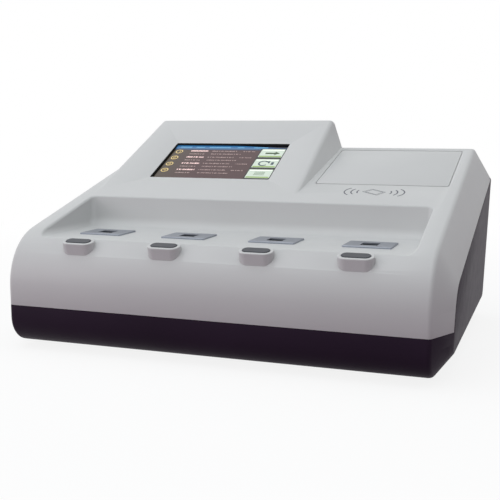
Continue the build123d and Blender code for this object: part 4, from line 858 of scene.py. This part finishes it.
class ANALYZER_OT_printer(bpy.types.Operator):
    """Finishes the printer under the lid"""

    bl_idname = "analyzer.printer"
    bl_label = "Printer"

    def execute(self, context):
        low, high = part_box("paper_roll")
        paper = wound_paper("Thermal paper, wound", linear("#EDEDE8"), (low + high) / 2)
        roller = rubber("Rubber, ground roller", linear("#1B1B1D"), 0.6 * MM)
        name = "ABS, moulded, printer tub"
        tub = moulded_abs(name, linear("#2C2D30"), 0.5, 0.7 * MM, 0.02 * MM)
        head = anodised_aluminium("Aluminium, print head", linear("#B9BABD"), 0.35, 0.4 * MM)
        pins = plated_steel("Steel, ground hinge pins", linear("#B5B6B8"), 0.25, 2 * MM)
        finish_nodes(paper, "paper_roll")
        finish_nodes(roller, "platen_roller")
        finish_nodes(tub, "printer_frame")
        finish_nodes(head, "print_head")
        finish_nodes(pins, "hinge_pins")
        return {"FINISHED"}


class ANALYZER_OT_rear(bpy.types.Operator):
    """Finishes the rear panel, the fan and the sockets"""

    bl_idname = "analyzer.rear"
    bl_label = "Rear"

    def execute(self, context):
        panel = context.scene.analyzer_colours.panel
        grit = 1.2 * MM
        sheet = structure_paint("Powder coat, fine structure", panel, grit)
        plastic = glossy_moulding("Polyamide, glossy black", linear("#131315"))
        name = "Polyester, moulded fan"
        fan = moulded_abs(name, linear("#17171A"), 0.48, 0.8 * MM, 0.02 * MM)
        nickel = plated_steel("Steel, nickel plated sockets", linear("#C4C4C2"), 0.22, 3 * MM)
        finish_nodes(sheet, "rear_panel")
        finish_nodes(plastic, "power_inlet", "switch_body", "switch_rocker")
        finish_nodes(fan, "fan_frame", "fan_rotor")
        finish_nodes(nickel, "usb_ports", "serial_port")
        self.grille(structure_paint("Powder coat, rolled rims", panel, grit))
        self.contacts()
        self.switch_marks(context.scene.analyzer_sizes.print_lift)
        return {"FINISHED"}

    def grille(self, paint):
        """Rolled rims of the fan's slots"""
        sizes = {
            "Slots": 7,
            "Pitch": 7.514 * MM,
            "Slot width": 3.7 * MM,
            "Opening radius": 28.1 * MM,
            "Rim": 0.32 * MM,
            "Finish": paint,
        }
        rims = grown(grille_tree(), sizes)
        low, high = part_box("fan_frame")
        centre = (low + high) / 2
        place = Matrix.Translation((centre.x, rear_y, centre.z))
        rims.transform(place @ Matrix.Rotation(radians(90), 4, "X"))
        mesh_piece("grille_rims", rims, paint)

    def contacts(self):
        """Contact strips under the tongue of each USB port"""
        gold = plated_steel("Gold, plated contacts", linear("#D9B45A"), 0.25, 2 * MM)
        low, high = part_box("usb_ports")
        port_middle, port_depth, under_tongue = 6.6 * MM, 9.0 * MM, 0.05 * MM
        count, pitch = 4, 2.2 * MM
        sizes = {
            "Count": count,
            "Pitch": pitch,
            "Width": 1.1 * MM,
            "Thickness": 0.16 * MM,
            "Reach": 8.0 * MM,
            "Drop": 0.0,
            "Finish": gold,
        }
        tree = leads_tree()
        height = (low.z + high.z) / 2 - under_tongue
        work = bmesh.new()
        for middle in (low.x + port_middle, high.x - port_middle):
            strips = grown(tree, sizes)
            first = middle - pitch * (count - 1) / 2
            strips.transform(Matrix.Translation((first, rear_y - port_depth, height)))
            work.from_mesh(strips)
        mesh_piece("usb_contacts", from_bmesh("usb_contacts", work), gold)

    def switch_marks(self, lift):
        """The marks O and I on the rocker, which rests with its upper end pressed in"""
        low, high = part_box("switch_body")
        middle_x, middle_z = (low.x + high.x) / 2, (low.z + high.z) / 2
        # The rocker's two faces meet in a fold, which lies over the pin when it is level
        rocker_radius, fold_share, flange, half_turn = 7.5 * MM, 0.42, 1.6 * MM, radians(10.0)
        fold = rocker_radius * fold_share
        pin_y = rear_y + flange - fold
        fold_y, fold_z = pin_y + fold * cos(half_turn), middle_z + fold * sin(half_turn)
        place = Matrix.Translation((middle_x, fold_y, fold_z))
        rearward = place @ Matrix.Rotation(radians(180), 4, "Z")
        facing = rearward @ Matrix.Rotation(radians(90), 4, "X")
        outward = facing.to_3x3() @ Vector((0, 0, 1))
        chalk = linear("#E4E4E4")
        reach, ring_radius, ring_stroke, bar_width, bar_height = 3.6, 1.35, 0.5, 0.56, 3.0
        upper = FlatDrawing(facing, lift)
        upper.arc(0.0, reach, ring_radius, 0, 360, ring_stroke, chalk, steps=20)
        lower = FlatDrawing(facing @ Matrix.Rotation(-2 * half_turn, 4, "X"), lift)
        left, foot = -bar_width / 2, -reach - bar_height / 2
        lower.bar(left, foot, bar_width, bar_height, chalk, radius=0.1)
        work = bmesh.new()
        work.from_mesh(upper.mesh("mark_off", outward))
        work.from_mesh(lower.mesh("mark_on", outward))
        ink = printed_ink("Ink, pad printed white", chalk)
        marks = from_bmesh("switch_marks", work)
        mesh_piece("switch_marks", marks, ink, "rocker")


class ANALYZER_OT_inside(bpy.types.Operator):
    """Finishes the boards, the supply, the chassis and the screws"""

    bl_idname = "analyzer.inside"
    bl_label = "Inside"

    def execute(self, context):
        colours = context.scene.analyzer_colours
        boards = solder_resist("Epoxy board, green resist", colours.board)
        finish_nodes(boards, "main_board", "detector_boards", "key_board", "card_antenna")
        sheet = plated_steel("Steel, zinc plated sheet", linear("#A6A8A9"), 0.36, 8 * MM)
        finish_nodes(sheet, "chassis_plate", "power_supply")
        screws = plated_steel("Steel, blued zinc screws", linear("#9DA0A4"), 0.3, 1.5 * MM)
        finish_nodes(screws, "board_screws", "case_screws", "chassis_screws")
        finish_nodes(screws, "display_screws", "panel_screws")
        finish_nodes(rubber("Rubber, moulded feet", linear("#161617"), 1.0 * MM), "feet")
        self.chip_leads()
        return {"FINISHED"}

    def chip_leads(self):
        """Tinned leads along both long sides of the main board's large chip"""
        tin = plated_steel("Tin, plated leads", linear("#C9CACB"), 0.3, 1 * MM)
        low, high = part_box("main_board")
        width, length = high.x - low.x, high.y - low.y
        board_thickness, lead_lift = 1.6 * MM, 0.08 * MM

        # The chip's middle is at five eighths of the board, and it is a seventh as wide
        middle_x, middle_y = low.x + width * 5 / 8, low.y + length * 5 / 8
        half_chip = width / 14
        count = 14
        pitch = 2 * half_chip / (count + 1)
        sizes = {
            "Count": count,
            "Pitch": pitch,
            "Width": 0.5 * MM,
            "Thickness": 0.15 * MM,
            "Reach": 1.6 * MM,
            "Drop": 0.8 * MM,
            "Finish": tin,
        }
        tree = leads_tree()
        place = Matrix.Translation((middle_x, middle_y, low.z + board_thickness + lead_lift))
        work = bmesh.new()
        for turn in (0, 180):
            row = grown(tree, sizes)
            row.transform(Matrix.Translation((-pitch * (count - 1) / 2, half_chip, 0.0)))
            row.transform(place @ Matrix.Rotation(radians(turn), 4, "Z"))
            work.from_mesh(row)
        mesh_piece("chip_leads", from_bmesh("chip_leads", work), tin)


class ANALYZER_OT_studio(bpy.types.Operator):
    """Sets the floor, the lamps, the room light and the camera"""

    bl_idname = "analyzer.studio"
    bl_label = "Studio"

    def execute(self, context):
        studio = context.scene.analyzer_studio
        context.scene.view_settings.view_transform = "Standard"
        self.floor()
        self.room(studio.ambient)
        place, aim, size = (-0.15, -0.25, 1.3), (0.0, 0.0, 0.08), (1.6, 1.2)
        self.lamp("lamp_top", place, aim, size, studio.top_power, "#F4FBFF")
        place, aim, size = (-1.2, -0.9, 0.35), (0.0, -0.05, 0.05), (0.8, 0.7)
        self.lamp("lamp_left", place, aim, size, studio.side_power, "#FFF6FB")
        self.camera(studio.lens)
        return {"FINISHED"}

    def floor(self):
        """Paper sweep: white to a view but for a soft shadow, and dim where it only lights"""
        half_side, shadow_reach, clear_reach, shadow_share = 6.0, 0.22, 0.9, 0.86
        dim, white = opaque(linear("#8C7082")), (1, 1, 1, 1)
        dull = {"Roughness": 0.9, "Specular IOR Level": 0.0}
        made, tree, shader = new_material("Paper, matt sweep", dull)
        seen = self.shown(tree)
        tone = add(tree, "ShaderNodeMix", {0: seen, 6: dim, 7: white}, data_type="RGBA")
        tree.links.new(tone.outputs[2], shader.inputs["Base Color"])
        spot = add(tree, "ShaderNodeTexCoord").outputs["Object"]
        reach = add(tree, "ShaderNodeVectorMath", {0: spot}, operation="LENGTH").outputs["Value"]
        limits = {
            "Value": reach,
            "From Min": shadow_reach,
            "From Max": clear_reach,
            "To Min": shadow_share,
            "To Max": 1.0,
        }
        fade = add(tree, "ShaderNodeMapRange", limits, interpolation_type="SMOOTHSTEP").outputs[0]
        share = add(tree, "ShaderNodeMath", {0: seen, 1: fade}, operation="MULTIPLY").outputs[0]
        glow = add(tree, "ShaderNodeEmission", {"Color": white, "Strength": 1.0}).outputs[0]
        both = add(tree, "ShaderNodeMixShader", {0: share, 1: shader.outputs[0], 2: glow})
        output = next(node for node in tree.nodes if node.type == "OUTPUT_MATERIAL")
        tree.links.new(both.outputs[0], output.inputs["Surface"])
        work = bmesh.new()
        bmesh.ops.create_grid(work, x_segments=1, y_segments=1, size=half_side)
        mesh = from_bmesh("floor", work)
        mesh.materials.append(made)
        sweep = bpy.data.objects.new("floor", mesh)
        bpy.context.scene.collection.objects.link(sweep)

    def shown(self, tree):
        """1 where a view, a gloss or a glass looks at the studio, 0 where it only lights."""
        paths = add(tree, "ShaderNodeLightPath").outputs
        pair = {0: paths["Is Camera Ray"], 1: paths["Is Glossy Ray"]}
        either = add(tree, "ShaderNodeMath", pair, operation="MAXIMUM").outputs[0]
        pair = {0: either, 1: paths["Is Transmission Ray"]}
        return add(tree, "ShaderNodeMath", pair, operation="MAXIMUM").outputs[0]

    def room(self, strength):
        """Room light that is stronger from the left, and plain white to a view"""
        left_share, right_share = 1.45, 0.55
        world = bpy.data.worlds.new("room")
        world.use_nodes = True
        tree = world.node_tree
        tree.nodes.clear()
        heading = add(tree, "ShaderNodeTexCoord").outputs["Generated"]
        limits = {
            "Value": add(tree, "ShaderNodeSeparateXYZ", {0: heading}).outputs["X"],
            "From Min": -1.0,
            "To Min": left_share * strength,
            "To Max": right_share * strength,
        }
        power = add(tree, "ShaderNodeMapRange", limits).outputs[0]
        light = {"Color": opaque(linear("#FBFCFD")), "Strength": power}
        dim = add(tree, "ShaderNodeBackground", light).outputs[0]
        plain = {"Color": (1, 1, 1, 1), "Strength": 1.0}
        white = add(tree, "ShaderNodeBackground", plain).outputs[0]
        both = add(tree, "ShaderNodeMixShader", {0: self.shown(tree), 1: dim, 2: white})
        add(tree, "ShaderNodeOutputWorld", {"Surface": both.outputs[0]})
        bpy.context.scene.world = world

    def lamp(self, name, place, aim, size, power, tint):
        """A rectangular soft lamp at a place, turned to what it aims at"""
        data = bpy.data.lights.new(name, "AREA")
        data.shape = "RECTANGLE"
        data.size, data.size_y = size
        data.energy = power
        data.color = linear(tint)
        lamp = bpy.data.objects.new(name, data)
        lamp.location = place
        lamp.rotation_mode = "QUATERNION"
        lamp.rotation_quaternion = (Vector(aim) - Vector(place)).to_track_quat("-Z", "Y")
        bpy.context.scene.collection.objects.link(lamp)

    def camera(self, lens):
        """Camera where the photo was taken from, as its straight edges tell"""
        place, yaw, pitch = (0.2399, -0.69045, 0.1762), radians(19.94), radians(8.345)
        data = bpy.data.cameras.new("camera")
        data.lens = lens
        data.sensor_width = 36.0
        eye = bpy.data.objects.new("camera", data)
        look = Vector((-sin(yaw) * cos(pitch), cos(yaw) * cos(pitch), -sin(pitch)))
        right = Vector((cos(yaw), sin(yaw), 0.0))
        turn = Matrix((right, right.cross(look), -look)).transposed()
        eye.matrix_world = Matrix.Translation(place) @ turn.to_4x4()
        bpy.context.scene.collection.objects.link(eye)
        bpy.context.scene.camera = eye


PIECES = (
    ANALYZER_OT_shells,
    ANALYZER_OT_channels,
    ANALYZER_OT_screen,
    ANALYZER_OT_card_symbol,
    ANALYZER_OT_printer,
    ANALYZER_OT_rear,
    ANALYZER_OT_inside,
    ANALYZER_OT_studio,
)


class ANALYZER_PT_panel(bpy.types.Panel):
    """Lists the analyzer's pieces and settings in the sidebar"""

    bl_idname = "ANALYZER_PT_panel"
    bl_label = "Analyzer"
    bl_space_type = "VIEW_3D"
    bl_region_type = "UI"
    bl_category = "Analyzer"

    def draw(self, context):
        scene = context.scene
        for group in (scene.analyzer_colours, scene.analyzer_sizes, scene.analyzer_studio):
            box = self.layout.box()
            for name in group.__annotations__:
                box.prop(group, name)
        for piece in PIECES:
            self.layout.operator(piece.bl_idname)


CLASSES = (AnalyzerColours, AnalyzerSizes, StudioSettings, *PIECES, ANALYZER_PT_panel)


def register():
    """Registers the classes and hangs the settings on the scene."""
    for kind in CLASSES:
        bpy.utils.register_class(kind)
    bpy.types.Scene.analyzer_colours = bpy.props.PointerProperty(type=AnalyzerColours)
    bpy.types.Scene.analyzer_sizes = bpy.props.PointerProperty(type=AnalyzerSizes)
    bpy.types.Scene.analyzer_studio = bpy.props.PointerProperty(type=StudioSettings)


def unregister():
    """Takes the settings off the scene and unregisters the classes."""
    del bpy.types.Scene.analyzer_studio
    del bpy.types.Scene.analyzer_sizes
    del bpy.types.Scene.analyzer_colours
    for kind in reversed(CLASSES):
        bpy.utils.unregister_class(kind)


def main():
    """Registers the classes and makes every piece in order."""
    register()
    bpy.ops.analyzer.shells()
    bpy.ops.analyzer.channels()
    bpy.ops.analyzer.screen()
    bpy.ops.analyzer.card_symbol()
    bpy.ops.analyzer.printer()
    bpy.ops.analyzer.rear()
    bpy.ops.analyzer.inside()
    bpy.ops.analyzer.studio()


if __name__ == "__main__":
    main()
